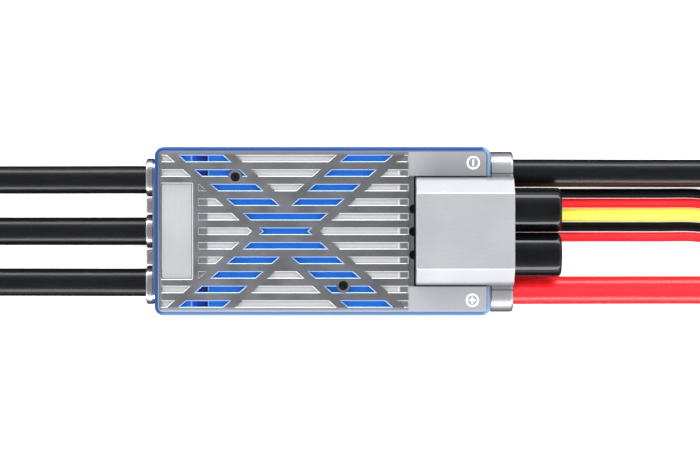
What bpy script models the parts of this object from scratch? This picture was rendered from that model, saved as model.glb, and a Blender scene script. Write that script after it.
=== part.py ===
"""Electronic speed controller for a brushless motor, about 93 mm long without its leads.

A blue anodised tray holds the boards. On its rim lie a blue heat spreader and a silver finned cover,
whose slots show the spreader as a blue cross. A hood over the battery end shelters two capacitors.
Three motor leads leave at -X, and two battery leads and five thin wires leave at +X.

All sizes are in millimetres and are scaled to metres where a mesh is made. +X points from the motor
end to the battery end, +Z up. The origin is on the surface it lies on, under the middle of the body.
"""

import math

import bmesh
import bpy
from mathutils import Matrix, Vector

MM = 0.001
GAP = 0.3  # between pieces that touch
ALONG_X = Matrix.Rotation(math.pi / 2, 4, "Y")

# Tray
CASE_LEFT, CASE_RIGHT = -45.0, 31.1
CASE_HALF = 19.1
CASE_TOP = 10.0
CASE_CORNER = 2.0
CASE_WALL = 1.3
CASE_FLOOR = 1.4
RIM = 0.85
LEDGE_Z = 8.9

# Cover and heat spreader, stacked on the tray's ledge
SEAM = 0.12
COVER_LEFT, COVER_RIGHT = CASE_LEFT + RIM + SEAM, CASE_RIGHT - RIM - SEAM
COVER_HALF = CASE_HALF - RIM - SEAM
COVER_CORNER = CASE_CORNER - RIM
SPREADER_BOTTOM, SPREADER_TOP = LEDGE_Z + GAP, 10.4
RAMP_LEFT, RAMP_DEPTH, RAMP_HALF = -36.5, 0.9, 17.3  # the spreader dips towards SHELF_LEFT
COVER_BOTTOM, COVER_TOP = SPREADER_TOP + GAP, 13.4

# Grooves of the cover
GROOVES = 11
GROOVE_PITCH, GROOVE_WIDTH = 3.27, 1.3
GROOVE_DEPTH = 1.3
GROOVE_LEFT, GROOVE_RIGHT = -43.1, 12.2
GROOVE_EDGE = 0.17  # chamfer along every groove's mouth
SHELF_LEFT, SHELF_RIGHT = -32.9, 10.4
SHELF_LEFT_END = -34.8
SHELF_DEPTH = 0.5
SHELF_RAMP = 0.15

# The cross: two bands of slots whose centre lines meet at CROSS_X
CROSS_X = -15.3
CROSS_SLOPE = 1.113  # X per Y along an arm
SLOT_REACH = 4.88  # along X, from an arm's centre line to the end of its slots
RIB_REACH = 7.8  # and to where the plain diagonal rib beside them ends

# Nameplate
PLATE_LEFT, PLATE_RIGHT, PLATE_HALF = -43.3, -36.25, 10.75
PLATE_THICK = 0.5

# Hood and capacitors
HOOD_LEFT, HOOD_RIGHT = 13.9, 36.0
HOOD_HALF, HOOD_TOP, HOOD_BOTTOM = 12.3, 18.2, 10.05
HOOD_FLAT, HOOD_EAVE = 8.35, 13.9  # half width of the flat top, and height where the slopes end
HOOD_WALL = 1.2
BAY_LEFT, BAY_HALF = HOOD_LEFT - GAP, HOOD_HALF + SEAM  # the opening that the hood stands in
TRENCH_LEFT, TRENCH_FLOOR = 12.4, 11.4
VENTS, VENT_RADIUS = ((BAY_LEFT, 5.0), (BAY_LEFT, -0.1), (BAY_LEFT, -5.3)), 1.05
CAP_RADIUS, CAP_Z = 5.0, 11.7
CAP_Y = (4.8, -5.3)
CAP_LEFT, CAP_RIGHT = 17.2, 46.7

# Leads
LEAD_D = 6.3
BORE = LEAD_D / 2 + 0.25
MOTOR_LEAD_Y = (11.75, 0.0, -11.65)
MOTOR_LEAD_Z = 5.0
MOTOR_END = -47.15
MOTOR_COLLAR, LUG_HALF = 3.8, 1.6
MOTOR_LEAD_END = -138.0
BATTERY_LEAD_Y = {"negative": 13.25, "positive": -13.45}
BATTERY_LEAD_Z = 5.3
BATTERY_END = 36.2
BATTERY_COLLAR = 4.9
BATTERY_LEAD_END = 147.0
HOLE_RADIUS = 4.1  # through the tray's walls
TIP_LENGTH, TIP_D = 8.7, 4.4

# Thin wires: name, diameter, Y where they leave, Y in the hank, colour
THIN_WIRES = (
    ("throttle_wire_ground", 2.1, 8.72, 7.32, "wire_black"),
    ("throttle_wire_power", 2.1, 6.45, 5.05, "wire_red"),
    ("throttle_wire_signal", 2.9, 3.78, 2.38, "wire_yellow"),
    ("bec_wire_ground", 2.1, 1.05, -0.35, "wire_black"),
    ("bec_wire_power", 2.1, -1.3, -2.7, "wire_red"),
)
WIRE_Z = 3.1
WIRE_START, HANK_LEFT = 27.4, 88.0
HANK_LOW_Y, HANK_HIGH_Y = -3.9, 8.5
HANK_LAYER, HANK_SLACK = 2.9, 0.4
HANK_LIFT = 1.0  # under the tie
FOLD_RADIUS = 7.0
FOLD_X = 147.5
TIE_X, TIE_WIDTH, TIE_THICK = 110.0, 5.0, 0.7
PLUG_LEFT, PLUG_LENGTH, PLUG_WIDTH, PLUG_HEIGHT = 89.3, 14.0, 7.7, 2.6
PIN_PITCH, PIN_HOLE, PIN_DEPTH = 2.54, 0.9, 6.0
LATCH_AT, LATCH_LENGTH = 7.0, 3.0
PLUG_Y = {"throttle_plug": 5.0, "bec_plug": -2.98}

# Screws
COVER_SCREWS = ((-26.6, 12.2), (-2.3, -12.2))
SCREW_BOSS, SCREW_HEAD = 1.6, 0.9
BASE_SCREWS = ((-40.6, 16.3), (-40.6, -16.3), (24.0, 16.3), (24.0, -16.3))
BASE_SCREW_TOP = 11.4

# Boards
POWER_BOARD_LEFT, POWER_BOARD_RIGHT, BOARD_HALF = -37.6, 23.4, 14.8
POWER_BOARD_BOTTOM, POWER_BOARD_TOP = 4.9, 6.2
CONTROL_BOARD_BOTTOM, CONTROL_BOARD_TOP = 1.9, 2.7

COLOURS = {
    # name: (base colour, roughness, metallic)
    "anodised_blue": ((0.01, 0.13, 0.62), 0.35, 0.8),
    "silver": ((0.45, 0.46, 0.48), 0.4, 0.9),
    "bright_silver": ((0.6, 0.6, 0.62), 0.35, 0.9),
    "silicone_black": ((0.012, 0.012, 0.013), 0.5, 0.0),
    "silicone_red": ((0.8, 0.02, 0.03), 0.45, 0.0),
    "wire_black": ((0.012, 0.012, 0.013), 0.45, 0.0),
    "wire_red": ((0.8, 0.02, 0.03), 0.45, 0.0),
    "wire_yellow": ((0.95, 0.85, 0.05), 0.45, 0.0),
    "tinned_copper": ((0.62, 0.6, 0.56), 0.35, 1.0),
    "copper": ((0.72, 0.35, 0.2), 0.35, 1.0),
    "sleeve_black": ((0.01, 0.01, 0.011), 0.3, 0.0),
    "board_green": ((0.01, 0.09, 0.05), 0.5, 0.0),
    "chip_black": ((0.02, 0.02, 0.022), 0.5, 0.0),
    "thermal_grey": ((0.3, 0.33, 0.36), 0.8, 0.0),
    "screw_black": ((0.03, 0.03, 0.032), 0.4, 0.7),
    "plug_black": ((0.02, 0.02, 0.021), 0.5, 0.0),
    "tie_black": ((0.03, 0.03, 0.032), 0.7, 0.0),
}


def clear_scene():
    for obj in list(bpy.data.objects):
        bpy.data.objects.remove(obj, do_unlink=True)


def new_collection(name):
    collection = bpy.data.collections.new(name)
    bpy.context.scene.collection.children.link(collection)
    return collection


def make_material(name):
    colour, roughness, metallic = COLOURS[name]
    material = bpy.data.materials.new(name)
    material.use_nodes = True
    shader = material.node_tree.nodes["Principled BSDF"]
    shader.inputs["Base Color"].default_value = (*colour, 1)
    shader.inputs["Roughness"].default_value = roughness
    shader.inputs["Metallic"].default_value = metallic
    return material


clear_scene()
PARTS = new_collection("speed_controller")
CUTTERS = new_collection("cutters")
MATERIALS = {name: make_material(name) for name in COLOURS}


def add_object(name, data, look):
    """A part in its own material, or a hidden cutter where look is None."""
    obj = bpy.data.objects.new(name, data)
    if look:
        data.materials.append(MATERIALS[look])
        PARTS.objects.link(obj)
    else:
        CUTTERS.objects.link(obj)
        obj.hide_render = True
        obj.display_type = "WIRE"
    return obj


def mesh_object(name, bm, look):
    bmesh.ops.scale(bm, vec=(MM, MM, MM), verts=bm.verts)
    bmesh.ops.recalc_face_normals(bm, faces=bm.faces)
    mesh = bpy.data.meshes.new(name)
    bm.to_mesh(mesh)
    bm.free()
    mesh.shade_smooth()
    mesh.set_sharp_from_angle(angle=math.radians(35))
    return add_object(name, mesh, look)


def add_box(bm, low, high):
    low, high = Vector(low), Vector(high)
    place = Matrix.Translation((low + high) / 2) @ Matrix.Diagonal((*(high - low), 1))
    return bmesh.ops.create_cube(bm, size=1, matrix=place)["verts"]


def box(name, low, high, look):
    bm = bmesh.new()
    add_box(bm, low, high)
    return mesh_object(name, bm, look)


def boxes(name, corners, look=None):
    """Several separate boxes in one cutter, each given as (low, high)."""
    bm = bmesh.new()
    for low, high in corners:
        add_box(bm, low, high)
    return mesh_object(name, bm, look)


def add_cylinder(bm, centre, radius, depth, along=None, sides=24):
    """A cylinder about Z, or about X where along is ALONG_X. centre is its middle."""
    place = Matrix.Translation(centre) @ (along or Matrix.Identity(4))
    bmesh.ops.create_cone(
        bm, cap_ends=True, segments=sides, radius1=radius, radius2=radius, depth=depth, matrix=place
    )


def rods_along_x(name, centres, radius, left, right, look=None, sides=24):
    bm = bmesh.new()
    for y, z in centres:
        add_cylinder(bm, ((left + right) / 2, y, z), radius, right - left, ALONG_X, sides)
    return mesh_object(name, bm, look)


def rods_along_z(name, centres, radius, bottom, top, look=None, sides=20):
    bm = bmesh.new()
    for x, y in centres:
        add_cylinder(bm, (x, y, (bottom + top) / 2), radius, top - bottom, sides=sides)
    return mesh_object(name, bm, look)


def add_loft(bm, rings):
    """A closed solid through rings of equally many points, with both ends capped."""
    loops = [[bm.verts.new(point) for point in ring] for ring in rings]
    count = len(loops[0])
    for low, high in zip(loops, loops[1:]):
        for i in range(count):
            j = (i + 1) % count
            bm.faces.new((low[i], low[j], high[j], high[i]))
    bm.faces.new(reversed(loops[0]))
    bm.faces.new(loops[-1])


def arc(centre, radius, start, end, steps):
    """Points along an arc, angles in degrees."""
    return [
        (
            centre[0] + radius * math.cos(math.radians(start + (end - start) * i / steps)),
            centre[1] + radius * math.sin(math.radians(start + (end - start) * i / steps)),
        )
        for i in range(steps + 1)
    ]


def rounded_rectangle(left, right, low, high, radius, steps=4):
    corners = (
        ((right - radius, high - radius), 0),
        ((left + radius, high - radius), 90),
        ((left + radius, low + radius), 180),
        ((right - radius, low + radius), 270),
    )
    outline = []
    for centre, start in corners:
        outline += arc(centre, radius, start, start + 90, steps)
    return outline


def prism(name, outline, low, high, look=None, across="Z"):
    """An outline extruded from low to high: (x, y) up Z, (y, z) along X or (x, z) along Y."""
    curve = bpy.data.curves.new(name, "CURVE")
    curve.dimensions = "2D"
    curve.fill_mode = "BOTH"
    curve.extrude = (high - low) / 2 * MM
    spline = curve.splines.new("POLY")
    spline.points.add(len(outline) - 1)
    for point, (x, y) in zip(spline.points, outline):
        point.co = (x * MM, y * MM, 0, 1)
    spline.use_cyclic_u = True
    guide = bpy.data.objects.new(name + "_outline", curve)
    bpy.context.scene.collection.objects.link(guide)
    bpy.context.view_layer.update()
    evaluated = guide.evaluated_get(bpy.context.evaluated_depsgraph_get())
    mesh = bpy.data.meshes.new_from_object(evaluated)
    bpy.data.objects.remove(guide)
    turn = {
        "Z": Matrix.Identity(4),
        "X": Matrix(((0, 0, 1, 0), (1, 0, 0, 0), (0, 1, 0, 0), (0, 0, 0, 1))),
        "Y": Matrix(((1, 0, 0, 0), (0, 0, -1, 0), (0, 1, 0, 0), (0, 0, 0, 1))),
    }[across]
    middle = (high + low) / 2
    shift = {"Z": (0, 0, middle), "X": (middle, 0, 0), "Y": (0, middle, 0)}[across]
    bm = bmesh.new()
    bm.from_mesh(mesh)
    bmesh.ops.scale(bm, vec=(1 / MM, 1 / MM, 1 / MM), verts=bm.verts)
    bmesh.ops.transform(bm, matrix=Matrix.Translation(shift) @ turn, verts=bm.verts)
    bmesh.ops.remove_doubles(bm, verts=bm.verts, dist=0.001)
    bmesh.ops.dissolve_limit(
        bm, angle_limit=math.radians(1), verts=bm.verts, edges=bm.edges
    )
    return mesh_object(name, bm, look)


def bevel(obj, width, segments=1, angle=50):
    modifier = obj.modifiers.new("edges", "BEVEL")
    modifier.width = width * MM
    modifier.segments = segments
    modifier.limit_method = "ANGLE"
    modifier.angle_limit = math.radians(angle)
    return obj


def combine(obj, others, operation="DIFFERENCE"):
    for other in others:
        modifier = obj.modifiers.new(other.name, "BOOLEAN")
        modifier.operation = operation
        modifier.object = other
    return obj


def turned(name, profile, look, centre=(0, 0, 0), along=None, steps=24, cyclic=False):
    """A profile of (radius, height) points, outer side from top to bottom, turned about Z or X."""
    mesh = bpy.data.meshes.new(name)
    bm = bmesh.new()
    points = [bm.verts.new((r * MM, 0, h * MM)) for r, h in profile]
    ends = zip(points, points[1:] + points[:1]) if cyclic else zip(points, points[1:])
    for pair in ends:
        bm.edges.new(pair)
    bm.to_mesh(mesh)
    bm.free()
    obj = add_object(name, mesh, look)
    screw = obj.modifiers.new("turn", "SCREW")
    screw.steps = steps
    screw.render_steps = steps
    screw.use_merge_vertices = True
    screw.merge_threshold = 1e-6
    obj.location = Vector(centre) * MM
    if along:
        obj.rotation_euler = along.to_euler()
    return obj


def smooth_line(points, spacing):
    """Points every spacing along a Catmull-Rom curve through the given ones."""
    points = [Vector(p) for p in points]
    padded = [2 * points[0] - points[1], *points, 2 * points[-1] - points[-2]]
    fine = []
    for a, b, c, d in zip(padded, padded[1:], padded[2:], padded[3:]):
        for i in range(40):
            t = i / 40
            fine.append(
                0.5 * (2 * b + (c - a) * t + (2 * a - 5 * b + 4 * c - d) * t * t
                       + (3 * b - a - 3 * c + d) * t * t * t)
            )
    fine.append(points[-1])
    total = sum((b - a).length for a, b in zip(fine, fine[1:]))
    count = max(2, round(total / spacing))
    line, walked, at = [fine[0]], 0.0, 1
    for a, b in zip(fine, fine[1:]):
        step = (b - a).length
        while at < count and walked + step >= total * at / count:
            line.append(a.lerp(b, (total * at / count - walked) / step))
            at += 1
        walked += step
    return line + [fine[-1]]


def tube(name, points, diameter, look, resolution, spacing):
    curve = bpy.data.curves.new(name, "CURVE")
    curve.dimensions = "3D"
    curve.bevel_depth = diameter / 2 * MM
    curve.bevel_resolution = resolution
    curve.use_fill_caps = True
    spline = curve.splines.new("POLY")
    line = smooth_line(points, spacing)
    spline.points.add(len(line) - 1)
    for point, place in zip(spline.points, line):
        point.co = (*(place * MM), 1)
    return add_object(name, curve, look)


def groove_y(row):
    """The middle of a groove; row 1 is the one at +Y."""
    return ((GROOVES + 1) / 2 - row) * GROOVE_PITCH


def kept_side(outline, edge, side):
    """The part of a convex outline on one side of X = edge: side 1 keeps the greater X, -1 the lesser."""
    kept = []
    for (x0, y0), (x1, y1) in zip(outline, outline[1:] + outline[:1]):
        if side * (x0 - edge) >= 0:
            kept.append((x0, y0))
        if (x0 - edge) * (x1 - edge) < 0:
            kept.append((edge, y0 + (y1 - y0) * (edge - x0) / (x1 - x0)))
    return kept


def row_outlines(row):
    """(slots, grooves) of one row: the slots lie in the arms of the cross, the grooves beside them."""
    low, high = groove_y(row) - GROOVE_WIDTH / 2, groove_y(row) + GROOVE_WIDTH / 2
    heights = [low, 0.0, high] if low < 0 < high else [low, high]
    nearest = CROSS_SLOPE * min(abs(y) for y in heights)

    def strip(left, right):
        """Between two offsets from the cross's middle, each a function of the arm's reach at Y."""
        arms = [(CROSS_SLOPE * abs(y), y) for y in heights]
        return [(CROSS_X + right(arm), y) for arm, y in arms] + [
            (CROSS_X + left(arm), y) for arm, y in reversed(arms)
        ]

    if nearest < SLOT_REACH:
        slots = [strip(lambda arm: -arm - SLOT_REACH, lambda arm: arm + SLOT_REACH)]
    else:
        slots = [
            strip(lambda arm: -arm - SLOT_REACH, lambda arm: -arm + SLOT_REACH),
            strip(lambda arm: arm - SLOT_REACH, lambda arm: arm + SLOT_REACH),
        ]
    left_end = SHELF_LEFT_END if 3 <= row <= GROOVES - 2 else GROOVE_LEFT
    past = CASE_RIGHT - CASE_LEFT
    grooves = [
        kept_side(strip(lambda arm: -past, lambda arm: -arm - RIB_REACH), left_end, 1),
        kept_side(strip(lambda arm: arm + RIB_REACH, lambda arm: past), GROOVE_RIGHT, -1),
    ]
    if nearest > RIB_REACH:
        grooves.append(strip(lambda arm: RIB_REACH - arm, lambda arm: arm - RIB_REACH))
    return slots, grooves


def widened(outline, by):
    """A counter-clockwise outline with its sides moved outwards."""
    corners = [Vector(point) for point in outline]
    moved = []
    for before, here, after in zip(corners[-1:] + corners, corners, corners[1:] + corners[:1]):
        a, b = (here - before).normalized(), (after - here).normalized()
        a, b = Vector((a.y, -a.x)), Vector((b.y, -b.x))
        moved.append(tuple(here + (a + b) * by / (1 + a.dot(b))))
    return moved


def add_pocket(bm, outline, floor, mouth=COVER_TOP):
    """A pocket's cutter, with a chamfer at its mouth."""
    wide = widened(outline, GROOVE_EDGE)
    add_loft(
        bm,
        [
            [(x, y, floor) for x, y in outline],
            [(x, y, mouth - GROOVE_EDGE) for x, y in outline],
            [(x, y, mouth) for x, y in wide],
            [(x, y, mouth + 1) for x, y in wide],
        ],
    )


def pockets(outlines_and_floors):
    bm = bmesh.new()
    for outline, floor in outlines_and_floors:
        add_pocket(bm, outline, floor)
    return bm


def groove_cutter():
    """Every slot and groove. Near both ends of the fins a steep ramp lifts the floors to a shelf."""
    floor = COVER_TOP - GROOVE_DEPTH
    outlines = []
    for row in range(1, GROOVES + 1):
        slots, grooves = row_outlines(row)
        outlines += [(slot, COVER_BOTTOM - 1) for slot in slots]
        outlines += [(groove, floor) for groove in grooves]
    bm = pockets(outlines)
    ends = ((SHELF_LEFT, -1), (SHELF_RIGHT, 1))
    for edge, way in ends:
        for x in (edge, edge + way * SHELF_RAMP):
            geometry = bm.verts[:] + bm.edges[:] + bm.faces[:]
            bmesh.ops.bisect_plane(bm, geom=geometry, plane_co=(x, 0, 0), plane_no=(1, 0, 0))
    for vert in bm.verts:
        x, y, z = vert.co
        beyond = x > SHELF_RIGHT + SHELF_RAMP / 2 or (
            x < SHELF_LEFT - SHELF_RAMP / 2 and abs(y) < PLATE_HALF + GAP
        )
        if beyond and abs(z - floor) < 1e-4:
            vert.co.z = COVER_TOP - SHELF_DEPTH
    bosses = rods_along_z(
        "screw_bosses", COVER_SCREWS, SCREW_BOSS, COVER_BOTTOM - 2, COVER_TOP + 2, sides=28
    )
    return combine(mesh_object("groove_cutter", bm, None), [bosses])


def cover_outline():
    return rounded_rectangle(COVER_LEFT, COVER_RIGHT, -COVER_HALF, COVER_HALF, COVER_CORNER)


def heatsink_cover():
    cover = prism("heatsink_cover", cover_outline(), COVER_BOTTOM, COVER_TOP, "silver")
    bevel(cover, 0.3)
    plate = rounded_rectangle(PLATE_LEFT, PLATE_RIGHT, -PLATE_HALF, PLATE_HALF, 0.3, 2)
    far, high, low = COVER_RIGHT + 1, COVER_TOP + 1, COVER_BOTTOM - 1
    plate_floor = COVER_TOP - PLATE_THICK - 2 * GAP
    trench = ((TRENCH_LEFT, -BAY_HALF + GAP, TRENCH_FLOOR), (BAY_LEFT + GAP, BAY_HALF - GAP, high))
    combine(
        cover,
        [
            mesh_object("nameplate_cutter", pockets([(plate, plate_floor)]), None),
            boxes("hood_bay", [((BAY_LEFT, -BAY_HALF, low), (far, BAY_HALF, high))]),
            boxes("vent_trench", [trench]),
            rods_along_z("vent_cutter", VENTS, VENT_RADIUS, low, high),
            rods_along_z("cover_screw_cutter", COVER_SCREWS, SCREW_HEAD + 0.15, low, high),
            rods_along_z("base_screw_cutter", BASE_SCREWS, 1.1, low, BASE_SCREW_TOP + 0.3),
            groove_cutter(),
        ],
    )


def heat_spreader():
    spreader = prism(
        "heat_spreader", cover_outline(), SPREADER_BOTTOM, SPREADER_TOP, "anodised_blue"
    )
    far, high, low = COVER_RIGHT + 1, SPREADER_TOP + 1, SPREADER_BOTTOM - 1
    wedge = [
        (RAMP_LEFT, SPREADER_TOP),
        (SHELF_LEFT, SPREADER_TOP - RAMP_DEPTH),
        (SHELF_LEFT, high),
        (RAMP_LEFT, high),
    ]
    bay = ((BAY_LEFT, -BAY_HALF, low), (far, BAY_HALF, high))
    combine(
        spreader,
        [
            boxes("spreader_bay", [bay]),
            prism("spreader_ramp", wedge, -RAMP_HALF, RAMP_HALF, None, "Y"),
            rods_along_z("spreader_vent_cutter", VENTS, VENT_RADIUS, low, high),
            rods_along_z("spreader_screw_cutter", COVER_SCREWS + BASE_SCREWS, 1.1, low, high),
        ],
    )


def nameplate():
    plate = rounded_rectangle(
        PLATE_LEFT + SEAM, PLATE_RIGHT - SEAM, -PLATE_HALF + SEAM, PLATE_HALF - SEAM, 0.3, 2
    )
    bottom = COVER_TOP - PLATE_THICK - GAP
    bevel(prism("nameplate", plate, bottom, bottom + PLATE_THICK, "bright_silver"), 0.12)


def lower_case():
    outline = rounded_rectangle(CASE_LEFT, CASE_RIGHT, -CASE_HALF, CASE_HALF, CASE_CORNER)
    case = bevel(prism("lower_case", outline, 0, CASE_TOP, "anodised_blue"), 0.35)

    def pocket(name, inset, corner, bottom):
        inside = rounded_rectangle(
            CASE_LEFT + inset, CASE_RIGHT - inset, -CASE_HALF + inset, CASE_HALF - inset, corner
        )
        return prism(name, inside, bottom, CASE_TOP + 1)

    side_grooves = [
        ((CASE_LEFT + 5, side - 0.35, z - 0.45), (CASE_RIGHT - 5, side + 0.35, z + 0.45))
        for side in (-CASE_HALF, CASE_HALF)
        for z in (3.2, 5.4, 7.6)
    ]
    right = (CASE_RIGHT - CASE_WALL - 2, CASE_RIGHT + 1)
    battery_leads = [(y, BATTERY_LEAD_Z) for y in BATTERY_LEAD_Y.values()]
    motor_leads = [(y, MOTOR_LEAD_Z) for y in MOTOR_LEAD_Y]
    left = (CASE_LEFT - 1, CASE_LEFT + CASE_WALL + 2)
    top = CASE_TOP + 1
    combine(
        case,
        [
            pocket("case_hollow", CASE_WALL, CASE_CORNER - CASE_WALL, CASE_FLOOR),
            pocket("case_rim", RIM, COVER_CORNER, LEDGE_Z),
            boxes("side_groove_cutter", side_grooves),
            rods_along_x("motor_hole_cutter", motor_leads, HOLE_RADIUS, *left),
            rods_along_x("battery_hole_cutter", battery_leads, HOLE_RADIUS, *right),
            boxes("hood_notch", [((right[0], -BAY_HALF, 6.4), (right[1], BAY_HALF, top))]),
            boxes("wire_notch", [((right[0], -3.3, 1.5), (right[1], 10.2, 6.6))]),
            rods_along_z("base_screw_holes", BASE_SCREWS, 1.1, -1, CASE_FLOOR + 1),
            rods_along_z("base_screw_seats", BASE_SCREWS, 2.0, -1, 0.9),
        ],
    )


def motor_end_block():
    """A thin bar with a collar round each lead and a flat lug between each two."""
    half_height, outer_y = 3.5, 16.6
    low, high = MOTOR_LEAD_Z - half_height, MOTOR_LEAD_Z + half_height
    back = CASE_LEFT - SEAM
    bar = rounded_rectangle(-outer_y + 0.6, outer_y - 0.6, low, high, 2.4)
    block = prism("motor_end_block", bar, back - 0.5, back, "bright_silver", "X")
    bosses = []
    for number, y in enumerate(MOTOR_LEAD_Y, 1):
        # The outer collars are drawn out to the bar's ends.
        outer = math.copysign(outer_y - MOTOR_COLLAR, y) if y else y
        inner_y, outer_centre = sorted((y, outer))
        outline = arc((outer_centre, MOTOR_LEAD_Z), MOTOR_COLLAR, -90, 90, 24)
        if outer == y:
            outline = outline[1:-1]
        outline += arc((inner_y, MOTOR_LEAD_Z), MOTOR_COLLAR, 90, 270, 24)
        collar = prism(f"motor_collar_{number}", outline, MOTOR_END, back - 0.2, None, "X")
        bosses.append(bevel(collar, 0.4, 2))
    for number, (y0, y1) in enumerate(zip(MOTOR_LEAD_Y, MOTOR_LEAD_Y[1:]), 1):
        y = (y0 + y1) / 2
        outline = rounded_rectangle(y - LUG_HALF, y + LUG_HALF, low, high, 0.5, 2)
        lug = prism(f"motor_lug_{number}", outline, MOTOR_END + 0.2, back - 0.2, None, "X")
        bosses.append(bevel(lug, 0.25))
    combine(block, bosses, "UNION")
    bores = [(y, MOTOR_LEAD_Z) for y in MOTOR_LEAD_Y]
    combine(block, [rods_along_x("motor_bores", bores, BORE, MOTOR_END - 1, back + 1, sides=28)])


def battery_end_block():
    """Two lead collars joined by a low bridge under the capacitors, with a window for the wires.

    Inward of its crest, each collar drops by a small step to a flat that passes under the hood.
    """
    left = CASE_RIGHT + SEAM
    step_down, step_across = 0.35, 0.35
    flat = BATTERY_LEAD_Z + BATTERY_COLLAR - step_down
    inner = HOOD_HALF - HOOD_WALL + GAP
    bridge = CAP_Z - CAP_RADIUS - 0.5
    upper, lower = [(y, BATTERY_LEAD_Z) for y in BATTERY_LEAD_Y.values()]
    outline = (
        arc(upper, BATTERY_COLLAR, -90, 90, 28)
        + [(upper[0] - step_across, flat), (inner, flat), (inner, bridge)]
        + [(-inner, bridge), (-inner, flat), (lower[0] + step_across, flat)]
        + arc(lower, BATTERY_COLLAR, 90, 270, 28)
    )
    block = prism("battery_end_block", outline, left - 1, BATTERY_END, "bright_silver", "X")
    bevel(block, 0.5, 2)
    ends = (left - 2, BATTERY_END + 1)
    combine(
        block,
        [
            boxes("end_trim", [((ends[0], -20, -1), (left, 20, 12))]),
            rods_along_x("battery_bores", [upper, lower], BORE, *ends, sides=28),
            boxes("wire_window", [((ends[0], -2.9, 1.6), (ends[1], 9.9, 4.4))]),
            boxes("signal_window", [((ends[0], 1.9, 1.4), (ends[1], 5.6, 4.8))]),
        ],
    )


def grommets():
    """Silicone seals between each lead and the tray's wall."""
    inner, outer = BORE + 0.05, HOLE_RADIUS - GAP
    length = CASE_WALL + 1.2
    profile = [(inner, length), (outer - 0.2, length), (outer, length - 0.3), (outer, 0), (inner, 0)]
    places = {
        f"motor_grommet_{number}": ((CASE_LEFT + 0.1, y, MOTOR_LEAD_Z), ALONG_X)
        for number, y in enumerate(MOTOR_LEAD_Y, 1)
    }
    for sign, y in BATTERY_LEAD_Y.items():
        place = (CASE_RIGHT - 0.1, y, BATTERY_LEAD_Z)
        places[f"battery_grommet_{sign}"] = (place, ALONG_X.inverted())
    for name, (place, along) in places.items():
        turned(name, profile, "silicone_black", place, along, 20, cyclic=True)


def leads():
    rest = LEAD_D / 2 + 0.05
    inside = CASE_WALL + 1.5
    for number, y in enumerate(MOTOR_LEAD_Y, 1):
        start = CASE_LEFT + inside
        route = [
            (start, y, MOTOR_LEAD_Z),
            (start - 6, y, MOTOR_LEAD_Z),
            (start - 12, y, MOTOR_LEAD_Z - 0.1),
            (start - 30, y, rest + 0.15),
            (start - 42, y, rest),
            (start - 60, y, rest),
            (start - 78, y, rest),
            (MOTOR_LEAD_END, y, rest),
        ]
        tube(f"motor_lead_{number}", route, LEAD_D, "silicone_black", 4, 10)
        tip(f"motor_lead_tip_{number}", MOTOR_LEAD_END - GAP, -1, y, rest)
    for sign, y in BATTERY_LEAD_Y.items():
        look = "silicone_black" if sign == "negative" else "silicone_red"
        start = CASE_RIGHT - inside
        route = [
            (start, y, BATTERY_LEAD_Z),
            (start + 10, y, BATTERY_LEAD_Z),
            (start + 16, y, BATTERY_LEAD_Z - 0.15),
            (start + 36, y, rest + 0.15),
            (start + 50, y, rest),
            (start + 70, y, rest),
            (start + 92, y, rest),
            (BATTERY_LEAD_END, y, rest),
        ]
        tube(f"battery_lead_{sign}", route, LEAD_D, look, 4, 10)
        tip(f"battery_lead_tip_{sign}", BATTERY_LEAD_END + GAP, 1, y, rest)


def tip(name, start, way, y, z):
    """A lead's tinned end, rounded at its tip."""
    radius = TIP_D / 2
    profile = [
        (0, TIP_LENGTH),
        (radius * 0.55, TIP_LENGTH),
        (radius * 0.9, TIP_LENGTH - 0.5),
        (radius, TIP_LENGTH - 1.4),
        (radius, 0),
        (0, 0),
    ]
    along = Matrix.Rotation(way * math.pi / 2, 4, "Y")
    turned(name, profile, "tinned_copper", (start, y, z), along, 14)


def thin_wires():
    for name, diameter, y, hank_y, look in THIN_WIRES:
        rest = diameter / 2 + 0.05
        route = [
            (WIRE_START, y, WIRE_Z),
            (34.0, y, WIRE_Z),
            (38.0, y, WIRE_Z - 0.05),
            (52.0, y, rest + 0.1),
            (60.0, y, rest),
            (70.0, y, rest),
            (78.0, y, rest),
            (83.0, (y + hank_y) / 2, rest),
            (HANK_LEFT, hank_y, rest),
        ]
        tube(name, route, diameter, look, 2, 6)


def wire_hank():
    """The outer shape of the five wires folded back on themselves once, lifted where the tie goes under."""
    layer, lift = HANK_LAYER, HANK_LIFT
    left, plug_end = HANK_LEFT + GAP, PLUG_LEFT + PLUG_LENGTH + GAP
    outer = FOLD_RADIUS + layer / 2
    tie_left, tie_right = TIE_X - TIE_WIDTH / 2 - 1, TIE_X + TIE_WIDTH / 2 + 1
    tie_top = lift + 2 * layer + HANK_SLACK
    fall = [
        (
            FOLD_X + (tie_right - FOLD_X) * t,
            2 * outer + (tie_top - 2 * outer) * (0.5 - 0.5 * math.cos(math.pi * t)),
        )
        for t in (i / 8 for i in range(1, 9))
    ]
    outline = (
        [(left, 0), (tie_left - 1.5, 0), (tie_left, lift), (tie_right, lift), (tie_right + 1.5, 0)]
        + arc((FOLD_X, outer), outer, -90, 90, 12)
        + fall
        + [(tie_left, tie_top), (plug_end, layer + GAP + PLUG_HEIGHT + 0.4)]
        + [(plug_end, layer), (left, layer)]
    )
    prism("wire_hank", outline, HANK_LOW_Y, HANK_HIGH_Y, "wire_black", "Y")


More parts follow.
